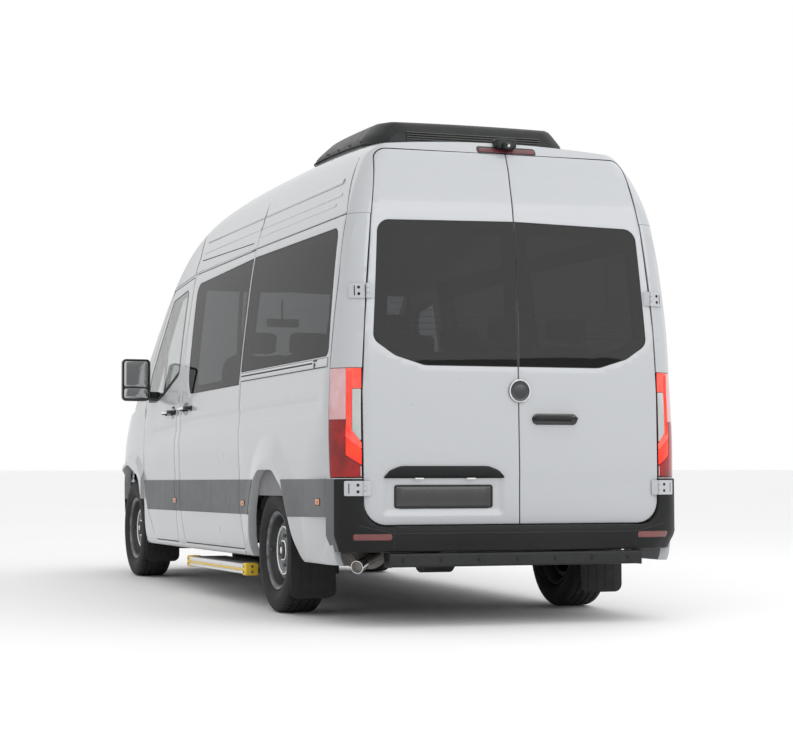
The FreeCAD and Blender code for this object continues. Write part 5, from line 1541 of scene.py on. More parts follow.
@dataclass
class DoorFittings:
    """Hinges, handle, disc, strip, plate, glass borders and seals of the rear doors."""

    def build(self) -> None:
        """Every fitting, each on the door or the post that carries it."""
        self.glass()
        self.plate()
        self.handle()
        for z in (1728.0, 703.0):
            self.hinge(z)

    def glass(self) -> None:
        """Black borders behind the panes, their seals, heater lines, and rubber in each door's gap."""
        for side, sign, shape, door in (
            ("left", 1.0, REAR_GLASS, REAR_DOOR), ("right", -1.0, on_right(REAR_GLASS), on_right(REAR_DOOR)),
        ):
            body = "rear_door_" + side
            frame = sheet(grown(shape, -0.5), RearSkin(-6.6), 6.0, 0.5, [grown(shape, -70)], 60, 30)
            put("rear_glass_border_" + side, frame, Look.FRIT, body)
            ring = swept(rounded(grown(shape, 0.2), 40), strap(2.2, 0.6, 2.0), RearSkin(), True)
            put("rear_glass_seal_" + side, ring, Look.SEAM, body)
            wires = Draft()
            low, high = sorted((sign * 62.0, sign * 690.0))
            for z in np.arange(1500, 1990, 34.0):
                wires.join(swept(line((low, z), (high, z), step=160), strap(0.9, 0.3, 0.4, 0.1),
                                 RearSkin(-7.0)))
            put("rear_heater_lines_" + side, wires, Look.FRIT, body)
            inner = swept(rounded(grown(door, 2.6), 40), strap(2.0, -6.0, 20.0), RearSkin(), True)
            put("rear_door_seal_" + side, inner, Look.SEAM, "chassis")

    def plate(self) -> None:
        """The blank plate in its frame, the dark strip over it, and two small lamps under the strip."""
        skin = RearSkin(3.0)
        blank = oblong(130, 608, 662, 712, 6)
        put("plate_blank", sheet(blank, skin, 3.0, 1.0, (), 60, 30), Look.PLATE, "rear_door_left")
        rim = swept(rounded(grown(blank, 4), 40), bead(5, 4.5, 3), skin, True)
        rim.join(swept(line((150, 604), (642, 604)), bead(7, 5.5, 3), skin))
        put("plate_frame", rim, Look.BLACK, "rear_door_left")
        strip = [(54, 755, 6), (736, 755, 6), (700, 796, 60), (640, 819, 90), (150, 819, 90), (90, 796, 60)]
        put("plate_strip", sheet(strip, RearSkin(15.0), 22.0, 8.0, (), 24, 14), Look.BUMPER, "rear_door_left",
            sharp=50)
        lamps = joined(*(slab_block((-2917, y - 24, 749), (-2903, y + 24, 757), 3) for y in (250, 540)))
        put("plate_lamps", lamps, Look.WHITE, "rear_door_left")

    def handle(self) -> None:
        """The right door's handle over a flat black plate painted as the shade of its recess, the lock, and
        the bare disc beside the gap.
        """
        # The recess is a flat black plate 1.2 mm proud of the skin: painted shade standing for the hollow
        # behind the grip.
        recess = oblong(-368, 1036, -104, 1098, 30)
        put("rear_handle_shade_plate", sheet(recess, RearSkin(1.2), 4.0, 1.0, (), 20, 9), Look.GLOSS,
            "rear_door_right")
        rim = swept(rounded(grown(recess, 2), 9), bead(3.5, 2.6), RearSkin(), True)
        put("rear_handle_rim", rim, Look.PAINT, "rear_door_right", sharp=60)
        path = [(-2897, -356, 1070), (-2922, -345, 1071), (-2931, -300, 1073), (-2933, -236, 1074),
                (-2931, -172, 1073), (-2922, -127, 1071), (-2897, -116, 1070)]
        grip = rod(spline_path(path, 6), 12.5, 14, 0.95)
        lock = lathe([(0, 0), (0, 11), (8, 11), (9.5, 9), (9.5, 3), (8, 3), (8, 0)], (-2926, -326, 1072),
                     (-1, 0, 0), 22)
        put("rear_handle_grip", grip, Look.BLACK, "rear_door_right")
        put("rear_handle_lock", lock, Look.BRIGHT, "rear_door_right")
        place = (float(REAR_FACE(1216)), -34.0, 1216.0)
        disc = [(-2, 0), (-2, 60), (9, 60), (12, 58), (13, 55), (10, 53), (9, 50), (11.5, 30), (12.5, 0)]
        put("plain_disc", lathe(disc, place, (-1, 0, 0), 60), Look.DISC, "rear_door_right")
        ring = [(8, 54), (8, 61.5), (12, 61.5), (14.5, 59), (14.5, 56), (12, 54), (8, 54)]
        put("plain_disc_ring", lathe(ring, place, (-1, 0, 0), 60), Look.BRIGHT, "rear_door_right")

    def hinge(self, z: float) -> None:
        """A pressed hinge at a height: post bracket with two knuckles, door strap with one."""
        share = (z - 700) / 1030
        pin_x, pin_y = -2919 + 27 * share, 842 - 27 * share
        face = float(REAR_FACE(z))
        inner = pin_y - 6
        tall = 39.0
        skin, near, far = RearSkin(8.0), pin_y + 9, pin_y + 90
        if z < 1000:
            skin, near, far = BumperSkin(7.0), 846.0, 952.0
        plate = [(near, z - tall, 5), (far, z - tall, 8), (far, z + tall, 8), (near, z + tall, 5)]
        post = sheet(plate, skin, 9.0, 2.5, (), 14, 9)
        plan = [(pin_x - 3, inner, 4), (face + 2, inner, 2), (face + 2, inner - 34, 2),
                (face - 6, inner - 34, 3)]
        door = shell_of(plan, z - tall, z + tall, 3.0, 40)
        for low, high, where in ((-tall, -14, post), (-12, 12, door), (14, tall, post)):
            where.join(lathe([(low, 0), (low, 8), (low + 1, 9), (high - 1, 9), (high, 8), (high, 0)],
                             (pin_x, pin_y, z), (0, 0, 1), 20))
        bolts = Draft()
        for up in (-17, 17):
            spot = skin(np.array(near + 34), np.array(z + up), np.array(0.6))
            bolts.join(screw(8.0, spot, (-1, 0.25, 0)))
        bolts.join(swept(line((far - 26, z - 26), (far - 26, z + 26), step=13), strap(2.6, 0.6), skin))
        name = "rear_hinge_%d" % round(z)
        put(name + "_posts", post.both_sides(), Look.PAINT, "chassis")
        put(name + "_bolts", bolts.both_sides(), Look.SEAM, "chassis")
        put(name + "_strap_left", door, Look.PAINT, "rear_door_left")
        put(name + "_strap_right", door.mirrored(), Look.PAINT, "rear_door_right")


@dataclass
class RoofUnit:
    """The black cover of the roof cooling unit, with its seam, grille and screws."""

    wide = Curve([(-2335, 500), (-2322, 520), (-2290, 556), (-2200, 596), (-2150, 604), (-1330, 604),
                  (-1260, 592), (-1220, 572), (-1192, 530), (-1180, 470)])
    top = Curve([(-2335, 2690), (-2322, 2712), (-2290, 2727), (-2240, 2730), (-2150, 2731), (-1450, 2733),
                 (-1330, 2724), (-1250, 2698), (-1205, 2668), (-1180, 2636)])
    crown = Curve([(-2335, 2), (-2200, 14), (-1800, 41), (-1600, 41), (-1350, 22), (-1180, 4)])

    def ring(self, x: float) -> Array:
        """The section at a place: leaning side, rounded shoulder and low crown."""
        base = float(EDGE_HEIGHT(x)) - 8.0
        w, high = float(self.wide(x)), max(float(self.top(x)), base + 12)
        tall = high - base
        drop = min(100.0, tall * 0.55)
        ring = rounded([(w, base), (w - 4, high - drop, min(40, drop * 0.5)),
                        (w - 85, high, min(60, drop * 0.6)), (-w + 85, high, min(60, drop * 0.6)),
                        (-w + 4, high - drop, min(40, drop * 0.5)), (-w, base)], 20)
        ring = resampled(ring, 96)
        arc = np.clip(1 - (ring[:, 0] / w) ** 2, 0, 1)
        ring[:, 1] += float(self.crown(x)) * arc * ease((ring[:, 1] - base) / tall)
        return np.column_stack([np.full(96, x), ring])

    def build(self) -> None:
        """The shell and what is on it."""
        stations = np.unique(np.concatenate([np.linspace(-2335, -2300, 5), np.linspace(-2300, -2100, 14),
                                             np.linspace(-2100, -1480, 14), np.linspace(-1480, -1180, 16)]))
        put("roof_unit_cover", lofted([self.ring(float(x)) for x in stations]), Look.UNIT, "chassis",
            ["roof_unit"], sharp=26)
        slats = Draft()
        for k in range(6):
            z = 2600 + k * 13.0
            slats.join(slab_block((-2343, -400, z), (-2330, 400, z + 6), 2.5))
        put("roof_unit_slats", slats, Look.GLOSS, "chassis")
        path = np.array([(x, float(self.wide(x)) + 2, float(EDGE_HEIGHT(x)) + 26) for x in stations[2:-2]])
        put("roof_unit_seams", rod(path, 4.0, 8).both_sides(), Look.SEAM, "chassis")
        fixings = Draft()
        for x in (-2140, -1940, -1740, -1540):
            fixings.join(screw(9, (x, float(self.wide(x)) - 1, float(EDGE_HEIGHT(x)) + 48), (0, 1, 0.1)))
        put("roof_unit_screws", fixings.both_sides(), Look.CAST, "chassis")


@dataclass
class Mirrors:
    """Both door mirrors: housing, split glass, arm and repeater."""

    def build(self) -> None:
        """Each mirror on its cab door."""
        plan = [(1183, 1038, 24), (1188, 1234.5, 30), (1262, 1228.5, 36), (1304, 1042, 24)]
        shell = shell_of(plan, 1305, 1599, 30.0)
        skin = Plane((1154.5, 0, 0), (-0.0248, -1, 0))
        glass = joined(*(sheet(oblong(-1222, a, -1052, b, 16), skin, 4.0, 1.2, (), 40, 14)
                         for a, b in ((1404, 1582), (1322, 1392))))
        glass = glass.moved(lambda p: p + np.array([1.5, 0, 0]))
        skin = Plane((1156.5, 0, 0), (-0.0248, -1, 0))
        rim = swept(rounded(oblong(-1230, 1311, -1042, 1592, 24), 14), bead(5, 1.5, 6), skin, True)
        rim.join(swept(line((-1228, 1398), (-1046, 1398)), bead(4, 1.5, 6), skin))
        arm = sheet([(1206, 955, 4), (1206, 1052, 10), (1286, 1052, 30), (1430, 986, 20), (1436, 955, 4)],
                    level(1371.0), 47.0, 9.0, (), 30, 14)
        amber = sheet(oblong(30, 1424, 158, 1448, 8), Plane((1305.5, 1040.5, 0), (-44, 192, 0)), 5.0, 2.0)
        seam = swept(line((-1, 0), (1, 0)), bead(1, 1), Plane((1240, 1100, 1320)))
        for side, change in SIDES:
            body = "cab_door_" + side
            put("mirror_shell_" + side, change(joined(shell, seam)), Look.BLACK, body, ["mirror_" + side],
                sharp=50)
            put("mirror_glass_" + side, change(glass), Look.MIRROR, body)
            put("mirror_rim_" + side, change(rim), Look.GLOSS, body)
            put("mirror_arm_" + side, change(arm), Look.BLACK, body)
            put("mirror_repeater_" + side, change(amber), Look.AMBER, body)


TREAD_STEPS = 240
WHEELS = {
    "front_left": (FRONT_X, 866.0, FRONT_HUB_Z, 1.0), "front_right": (FRONT_X, 866.0, FRONT_HUB_Z, -1.0),
    "rear_left": (REAR_X, 858.0, HUB_Z, 1.0), "rear_right": (REAR_X, 858.0, HUB_Z, -1.0),
}


def circle(radius: float, count: int, x: float = 0.0, y: float = 0.0) -> Array:
    """Points round a centre."""
    turns = np.linspace(0, 2 * math.pi, count, endpoint=False)
    return np.array([(x + radius * math.cos(t), y + radius * math.sin(t)) for t in turns])


@dataclass(frozen=True)
class DiscSkin:
    """The pressed wheel disc: u and v from the hub's middle, its standing-out set by the radius."""

    x: float
    y: float
    z: float
    rise: Curve = Curve([(40, 58), (66, 58), (76, 50), (98, 44), (118, 52), (146, 58), (166, 50), (186, 26)])

    def __call__(self, u: Array, v: Array, depth: Array) -> Array:
        """Points of the disc, moved in by depth."""
        return np.stack([self.x + u, self.y + self.rise(np.hypot(u, v)) - depth, self.z + v], -1)


@dataclass
class Wheels:
    """Tyres with grooves and slots, rims with pierced discs, hub covers and bolts."""

    def build(self) -> None:
        """Each wheel on its own body."""
        for name, (x, y, z, sign) in WHEELS.items():
            change = kept if sign > 0 else Draft.mirrored
            body = "wheel_" + name
            place = (x, y, z)
            put("tyre_tread_" + name, change(self.tyre(place)), Look.TYRE, body, ["tyre_" + name], sharp=40)
            put("rim_barrel_" + name, change(self.barrel(place)), Look.WHEEL_DARK, body, ["rim_" + name])
            put("rim_disc_" + name, change(self.disc(place)), Look.RIM, body)
            # The dark disc behind the holes is painted shade for the shaded inside of the wheel.
            put("rim_painted_shade_" + name, change(self.backing(place)), Look.WHEEL_DARK, body)
            put("rim_edge_" + name, change(self.edge(place)), Look.RIM, body)
            put("wheel_bolts_" + name, change(self.bolts(place)), Look.CAST, body)
            put("hub_cover_" + name, change(self.cover(place)), Look.WHEEL_DARK, body)
            put("hub_ring_" + name, change(self.hub_ring(place)), Look.BRIGHT, body)

    @staticmethod
    def tyre(place: Sequence[float]) -> Draft:
        """The tyre: its section turned, long grooves and slots cut by lowering the tread."""
        half = [(72, 206), (83, 204), (84, 214), (92, 225), (101, 234), (108, 250), (115, 268), (117, 285),
                (115.5, 304), (112, 320), (106, 334)]
        side = spline_path(np.array([(a, r, 0) for a, r in half], float), 4)[:, :2]
        across = np.array([99, 94, 89, 84, 78, 71, 67.5, 67, 60, 59.5, 50, 40, 30, 27.5, 27, 20, 19.5, 12, 4])
        crown = 350 - 2.4 * (across / 90.0) ** 2 - 10 * np.clip((across - 84) / 22, 0, 1) ** 2
        groove = np.isin(across, (67.0, 60.0, 27.0, 20.0))
        tread = np.column_stack([across, crown])
        lowered = np.concatenate([np.zeros(len(side)), np.where(groove, 8.0, 0.0)])
        right = np.concatenate([side, tread])
        profile = np.concatenate([right, right[::-1] * np.array([-1, 1])])
        low = np.concatenate([lowered, lowered[::-1]])
        width = np.abs(profile[:, 0])
        upper = np.concatenate([np.zeros(len(side)), np.ones(len(tread))])
        upper = np.concatenate([upper, upper[::-1]])
        turn = np.arange(TREAD_STEPS)
        slot = np.where((turn[None] % 4 == 0) & (width[:, None] > 67.2) & (upper[:, None] > 0), 6.5, 0.0)
        sipe = np.where(((turn[None] + np.where(profile[:, :1] > 0, 0, 2)) % 4 == 2) & (width[:, None] < 59.8)
                        & (width[:, None] > 27.2) & (upper[:, None] > 0), 4.0, 0.0)
        wall = (width[:, None] > 110) & (profile[:, 1:] > 296) & (profile[:, 1:] < 322)
        rib = np.where((turn[None] % 2 == 0) & wall, -1.2, 0.0)
        radius = profile[:, 1:] - np.maximum(low[:, None], np.maximum(slot, sipe)) - rib
        angle = turn * 2 * math.pi / TREAD_STEPS
        x, y, z = place
        grid = np.stack([x + radius * np.cos(angle), y + profile[:, :1] + 0 * radius,
                         z + radius * np.sin(angle)], -1)
        made = Draft()
        made.add(grid, grid_faces(len(grid), TREAD_STEPS, wrap_rows=True, wrap_columns=True))
        return facing_out(made)

    @staticmethod
    def barrel(place: Sequence[float]) -> Draft:
        """The rim's barrel with its flanges, seats and well."""
        out = [(93, 218), (96, 219), (96, 221), (93, 222.5), (89, 221), (86, 215), (84.5, 204), (60, 202.5),
               (44, 192), (0, 186), (-60, 190), (-84, 203.5), (-86, 215), (-90, 221), (-94, 221), (-95, 217),
               (-90, 208), (-84, 196), (-60, 182), (0, 178), (40, 183), (62, 194), (80, 197), (87, 204),
               (90, 213), (93, 218)]
        return lathe(out, place, (0, 1, 0), 96)

    @staticmethod
    def edge(place: Sequence[float]) -> Draft:
        """The bright outer edge of the rim."""
        ring = [(88, 206), (92, 212), (95, 218.5), (97.2, 220), (97, 222), (94, 223.4), (91, 222),
                (92.5, 219), (89.5, 213), (86, 207.5), (88, 206)]
        return lathe(ring, place, (0, 1, 0), 96)

    @staticmethod
    def disc(place: Sequence[float]) -> Draft:
        """The disc with its ring of thirty small holes round an open middle."""
        holes = [circle(44, 32)]
        for k in range(30):
            turn = 2 * math.pi * k / 30
            holes.append(circle(8.5, 12, 150 * math.cos(turn), 150 * math.sin(turn)))
        slab = Trimmed(circle(186, 72), DiscSkin(*place), tuple(holes), (15.0, 15.0), 7.0, 1.0)
        return facing_out(slab.draft())

    @staticmethod
    def backing(place: Sequence[float]) -> Draft:
        """A dark disc behind the disc's holes: painted shade standing for the shaded inside of the wheel."""
        return lathe([(-40, 60), (-40, 176), (8, 180), (12, 178), (12, 60), (-40, 60)], place, (0, 1, 0), 64)

    @staticmethod
    def bolts(place: Sequence[float]) -> Draft:
        """Six wheel bolts on their washers and the valve."""
        x, y, z = place
        made = Draft()
        for k in range(6):
            turn = math.radians(60 * k + 30)
            made.join(hexagon(10.5, 16, (x + 84 * math.cos(turn), y + 46, z + 84 * math.sin(turn)), (0, 1, 0),
                              15))
        made.join(lathe([(0, 0), (0, 4), (26, 4), (26, 5.5), (38, 5.5), (39, 4), (39, 0)],
                        (x + 182, y + 44, z), (-0.25, 1, 0), 12))
        return made

    @staticmethod
    def cover(place: Sequence[float]) -> Draft:
        """The domed hub cover."""
        profile = [(40, 0), (40, 50), (60, 50), (70, 48), (76, 42), (77, 33), (71, 31), (70, 27), (72, 22),
                   (74, 0)]
        return lathe(profile, place, (0, 1, 0), 48)

    @staticmethod
    def hub_ring(place: Sequence[float]) -> Draft:
        """Bright rings on the hub cover and on the disc, and the bright button in the middle."""
        made = lathe([(56, 49), (56, 60), (61, 60.5), (65, 57), (65, 51), (56, 49)], place, (0, 1, 0), 48)
        made.join(lathe([(52, 126), (52, 140), (58, 141), (61, 138), (61, 130), (57, 126), (52, 126)], place,
                        (0, 1, 0), 72))
        made.join(lathe([(70, 0), (70, 20), (75, 20), (77, 17), (78, 0)], place, (0, 1, 0), 36))
        return made


@dataclass
class Step:
    """The sliding side step: tread, yellow ends, side plates, striped edge, ribs and screws."""

    def build(self) -> None:
        """All of it rides on the step."""
        ends, sides = Draft(), Draft()
        for x0, x1, inner in ((-1212, -1134, -1196), (154, 232, 202)):
            ends.join(slab_block((x0, 924, 187), (x1, 1004, 260), 9))
            sides.join(slab_block((inner, 738, 194), (inner + 14, 930, 254), 4))
        put("step_end_caps", ends, Look.YELLOW, "side_step")
        put("step_side_plates", sides, Look.CAST, "side_step")
        tread = slab_block((-1200, 736, 234), (220, 986, 252), 4)
        tread.join(slab_block((-1140, 930, 194), (160, 1000, 254), 6))
        put("step_tread", tread, Look.TREAD, "side_step", ["side_step"])
        put("step_edge_strip", slab_block((-1136, 994, 214), (156, 1003.5, 227), 3), Look.YELLOW, "side_step")
        edges = slab_block((-1136, 994, 231), (156, 1003, 251), 3)
        edges.join(slab_block((-1136, 994, 197), (156, 1003, 210), 3))
        put("step_edge_band", edges, Look.WHITE, "side_step")
        ribs = Draft()
        for y in np.arange(756, 988, 11.5):
            ribs.join(swept(line((-1132, y), (152, y), step=330), bead(3.6, 2.4), level(252.0)))
        put("step_ribs", ribs, Look.TREAD, "side_step", sharp=60)
        fixings = Draft()
        for x in (-1173, 193):
            for z in (208, 240):
                fixings.join(screw(8, (x, 1003.5, z), (0, 1, 0)))
        for z in (208, 240):
            fixings.join(screw(8, (-1212.5, 964, z), (-1, 0, 0)))
        put("step_screws", fixings, Look.CAST, "side_step")


@dataclass(frozen=True)
class FrontSkin:
    """The rounded nose: u is y, v is the height, depth goes back."""

    proud: float = 0.0
    reach: Curve = Curve([(150, 2860), (300, 2920), (450, 2955), (600, 2966), (750, 2952), (900, 2905),
                          (1000, 2850), (1100, 2760), (1200, 2640), (1320, 2480)])

    def __call__(self, u: Array, v: Array, depth: Array) -> Array:
        """Nose points: a power of 3.2 joins the side and the front in each level slice."""
        share = np.clip(np.abs(u) / side_y(v), 0, 0.995)
        x = 1700 + (self.reach(v) - 1700) * (1 - share**3.2) ** (1 / 3.2)
        return np.stack([x + self.proud - depth, u + 0 * x, v + 0 * x], -1)


def landed(node: bpy.types.Object, places: Sequence[tuple[float, float]]) -> Array:
    """Level points where lines straight down through x and y pairs meet a node."""
    mesh = node.data
    tree = BVHTree.FromPolygons([v.co[:] for v in mesh.vertices], [tuple(p.vertices) for p in mesh.polygons])
    down = Vector(stand(np.array([0.0, 0, -1])) - stand(np.array([0.0, 0, 0]))).normalized()
    out = []
    for x, y in places:
        hit = tree.ray_cast(Vector(stand(np.array([x, y, 3000.0]))), down)
        out.append((x, y, 3000.0 - (hit[3] or 1.0) * 1000.0))
    return np.array(out)


@dataclass
class Front:
    """Grille bars, disc, intake, plate, lamps and wipers of the front, none of it in the photograph."""

    frame: dict

    def build(self) -> None:
        """Every piece of the nose."""
        skin = FrontSkin()
        bars = crossing(bead(8, 8.0, 3), FrontSkin(1.0), ((790, 405), (905, 430)), 30)
        put("grille_bright_bars", bars, Look.BRIGHT, "chassis", sharp=60)
        heights = (762, 816, 842, 868, 935, 958)
        slats = crossing(bead(5, 5.0, 3), FrontSkin(1.0), [(z, 415) for z in heights], 30)
        put("grille_slats", slats, Look.GLOSS, "chassis", sharp=60)
        place = (float(skin(np.array(0.0), np.array(850.0), np.array(9.0))[0]), 0.0, 850.0)
        disc = [(-4, 0), (-4, 86), (9, 86), (13, 83), (12, 76), (15, 40), (16, 0)]
        put("front_disc", lathe(disc, place, (1, 0, 0), 60), Look.DISC, "chassis")
        ring = [(8, 78), (8, 90), (14, 90), (18, 86), (18, 80), (14, 77), (8, 78)]
        put("front_disc_ring", lathe(ring, place, (1, 0, 0), 60), Look.BRIGHT, "chassis")
        mouth = [(-600, 392, 30), (600, 392, 30), (520, 520, 30), (-520, 520, 30)]
        put("front_intake", sheet(mouth, FrontSkin(1.5), 5.0, 1.0, (), 40, 30), Look.SEAM, "chassis")
        reaches = ((418, 575), (444, 560), (470, 540), (496, 520))
        mesh = crossing(bead(4.5, 6.0, 3), FrontSkin(1.5), reaches, 40)
        mesh.join(swept(rounded(mouth, 30), bead(7, 6.0, 3), FrontSkin(1.0), True))
        put("front_intake_slats", mesh, Look.BLACK, "chassis", sharp=60)
        put("front_plate", sheet(oblong(-260, 566, 260, 676, 6), FrontSkin(1.2), 6.0, 1.5, (), 50, 30),
            Look.PLATE, "chassis")
        seam = strips(strap(2.4, 0.5), skin, ((-880, 738), (-455, 738)), ((455, 738), (880, 738)), step=25)
        put("front_bumper_seam", seam, Look.SEAM, "chassis")
        self.lamps()
        self.wipers()

    def lamps(self) -> None:
        """Bowls, light bars and dark backing inside each headlamp, and the fog lamps."""
        shape = [(440, 752, 24), (474, 892, 40), (790, 956, 60), (878, 956, 20), (878, 752, 20)]
        back = sheet(shape, FrontSkin(-47.0), 5.0, 1.0, (), 30, 20)
        put("headlamp_backing", back.both_sides(), Look.BLACK, "chassis")
        bowls, bulbs = Draft(), Draft()
        for y, z, radius in ((560, 838, 50), (690, 858, 54), (800, 880, 42)):
            place = FrontSkin(-96.0)(np.array(float(y)), np.array(float(z)), np.array(0.0))
            axis = (1.0, 0.12 + (y - 500) / 900.0, 0.05)
            profile = [(0, 0), (0, 8), (10, radius * 0.55), (26, radius * 0.85), (46, radius), (50, radius),
                       (50, radius - 4), (44, radius - 5), (26, radius * 0.78), (14, radius * 0.5), (8, 0)]
            bowls.join(lathe(profile, place, axis, 40))
            bulbs.join(lathe([(6, 0), (6, 14), (26, 18), (40, 14), (46, 0)], place, axis, 28))
        put("headlamp_bowls", bowls.both_sides(), Look.CHROME, "chassis")
        put("headlamp_bulbs", bulbs.both_sides(), Look.HEAD_LENS, "chassis")
        bar = swept(line((470, 775), (880, 790), step=20), bead(8, 5, 3), FrontSkin(-42.0))
        bar.join(swept(line((500, 884), (790, 940), (850, 942), step=20), bead(6, 5, 3), FrontSkin(-42.0)))
        put("headlamp_light_bars", bar.both_sides(), Look.WHITE, "chassis", sharp=60)
        place = FrontSkin(-4.0)(np.array(735.0), np.array(455.0), np.array(0.0))
        axis = (0.9, 0.44, 0.0)
        cup = lathe([(-8, 0), (-8, 58), (6, 60), (10, 56), (4, 46), (2, 40), (2, 0)], place, axis, 40)
        fog = lathe([(-2, 0), (-2, 40), (5, 38), (9, 24), (11, 0)], place, axis, 36)
        put("fog_lamp_cups", cup.both_sides(), Look.BLACK, "chassis")
        put("fog_lamps", fog.both_sides(), Look.HEAD_LENS, "chassis")

    def wipers(self) -> None:
        """Two wipers resting on the screen, each an arm, a blade and its pivot."""
        arms, blades = Draft(), Draft()
        screen = self.frame["nodes"]["windscreen"]
        for y0, y1 in ((300.0, -420.0), (-320.0, -780.0)):
            x0, x1 = 2040.0, 1985.0
            share = np.linspace(0, 1, 14)
            places = [(x0 + (x1 - x0) * t, y0 + (y1 - y0) * t) for t in share]
            path = landed(screen, places)
            path = path[path[:, 2] > 1200]
            arms.join(rod(path[: len(path) * 2 // 3] + np.array([6, 0, 26]), 6.0, 10))
            blades.join(rod(path + np.array([3, 0, 10]), 5.0, 10, 1.6))
            arms.join(lathe([(-30, 0), (-30, 16), (10, 16), (18, 12), (20, 0)],
                            path[0] + np.array([6, 0, 16]), (0.3, 0, 1), 20))
        put("wiper_arms", arms, Look.BLACK, "chassis")
        put("wiper_blades", blades, Look.SEAM, "chassis")


PAD_ROWS = 30
PAD_COLUMNS = 64


def pad(centre: Sequence[float], size: Sequence[float], lean: float, channels: Sequence[float] = (),
        pull: float = 0.03) -> Draft:
    """A stuffed cushion: a crowned closed form, its sides pulled in between its corners.

    The plan is a superellipse of power 5 whose radius shrinks by pull at the middle of each side.
    The thickness follows a superellipse of power 3, and is drawn in along each sewn channel.

    Args:
        centre: its middle.
        size: extents along, across and through.
        lean: turn about the cross axis in degrees, nought lies level.
        channels: places across, from -1 to 1, of sewn channels on its upper side.
        pull: how far the sides are drawn in.

    Returns:
        The closed cushion.
    """
    up = np.linspace(-math.pi / 2, math.pi / 2, PAD_ROWS)[:, None]
    turn = np.linspace(0, 2 * math.pi, PAD_COLUMNS, endpoint=False)[None]
    c, s = np.cos(turn), np.sin(turn)
    radius = (np.abs(c) ** 5 + np.abs(s) ** 5) ** (-1 / 5) * (1 - pull * np.cos(2 * turn) ** 2)
    flat = np.sign(np.cos(up)) * np.abs(np.cos(up)) ** 0.45
    thick = np.sign(np.sin(up)) * np.abs(np.sin(up)) ** 0.62
    x, y, z = flat * radius * c, flat * radius * s, thick + 0 * c
    crown = 1 - 0.16 * (x**2 + y**2) / 2
    z = z * crown
    for place in channels:
        z = z - 0.10 * np.exp(-(((y - place) * size[1] / 2) / 7.0) ** 2) * (z > 0)
    points = np.stack([x * size[0] / 2, y * size[1] / 2, z * size[2] / 2], -1)
    a = math.radians(lean)
    turned_x = points[..., 0] * math.cos(a) - points[..., 2] * math.sin(a)
    turned_z = points[..., 0] * math.sin(a) + points[..., 2] * math.cos(a)
    made = Draft()
    made.add(np.stack([turned_x, points[..., 1], turned_z], -1) + np.array(centre, float),
             grid_faces(PAD_ROWS, PAD_COLUMNS, wrap_columns=True))
    return facing_out(made)


BENCH = ((-715.0, 360.0), (-345.0, 360.0), (380.0, 430.0))
SEAT_ROWS = (
    ("cab", 630.0, ((-430.0, 500.0), (430.0, 500.0)), 1600.0),
    ("one", -360.0, BENCH, 1530.0),
    ("two", -1130.0, BENCH, 1530.0),
    ("three", -1900.0, BENCH, 1530.0),
)


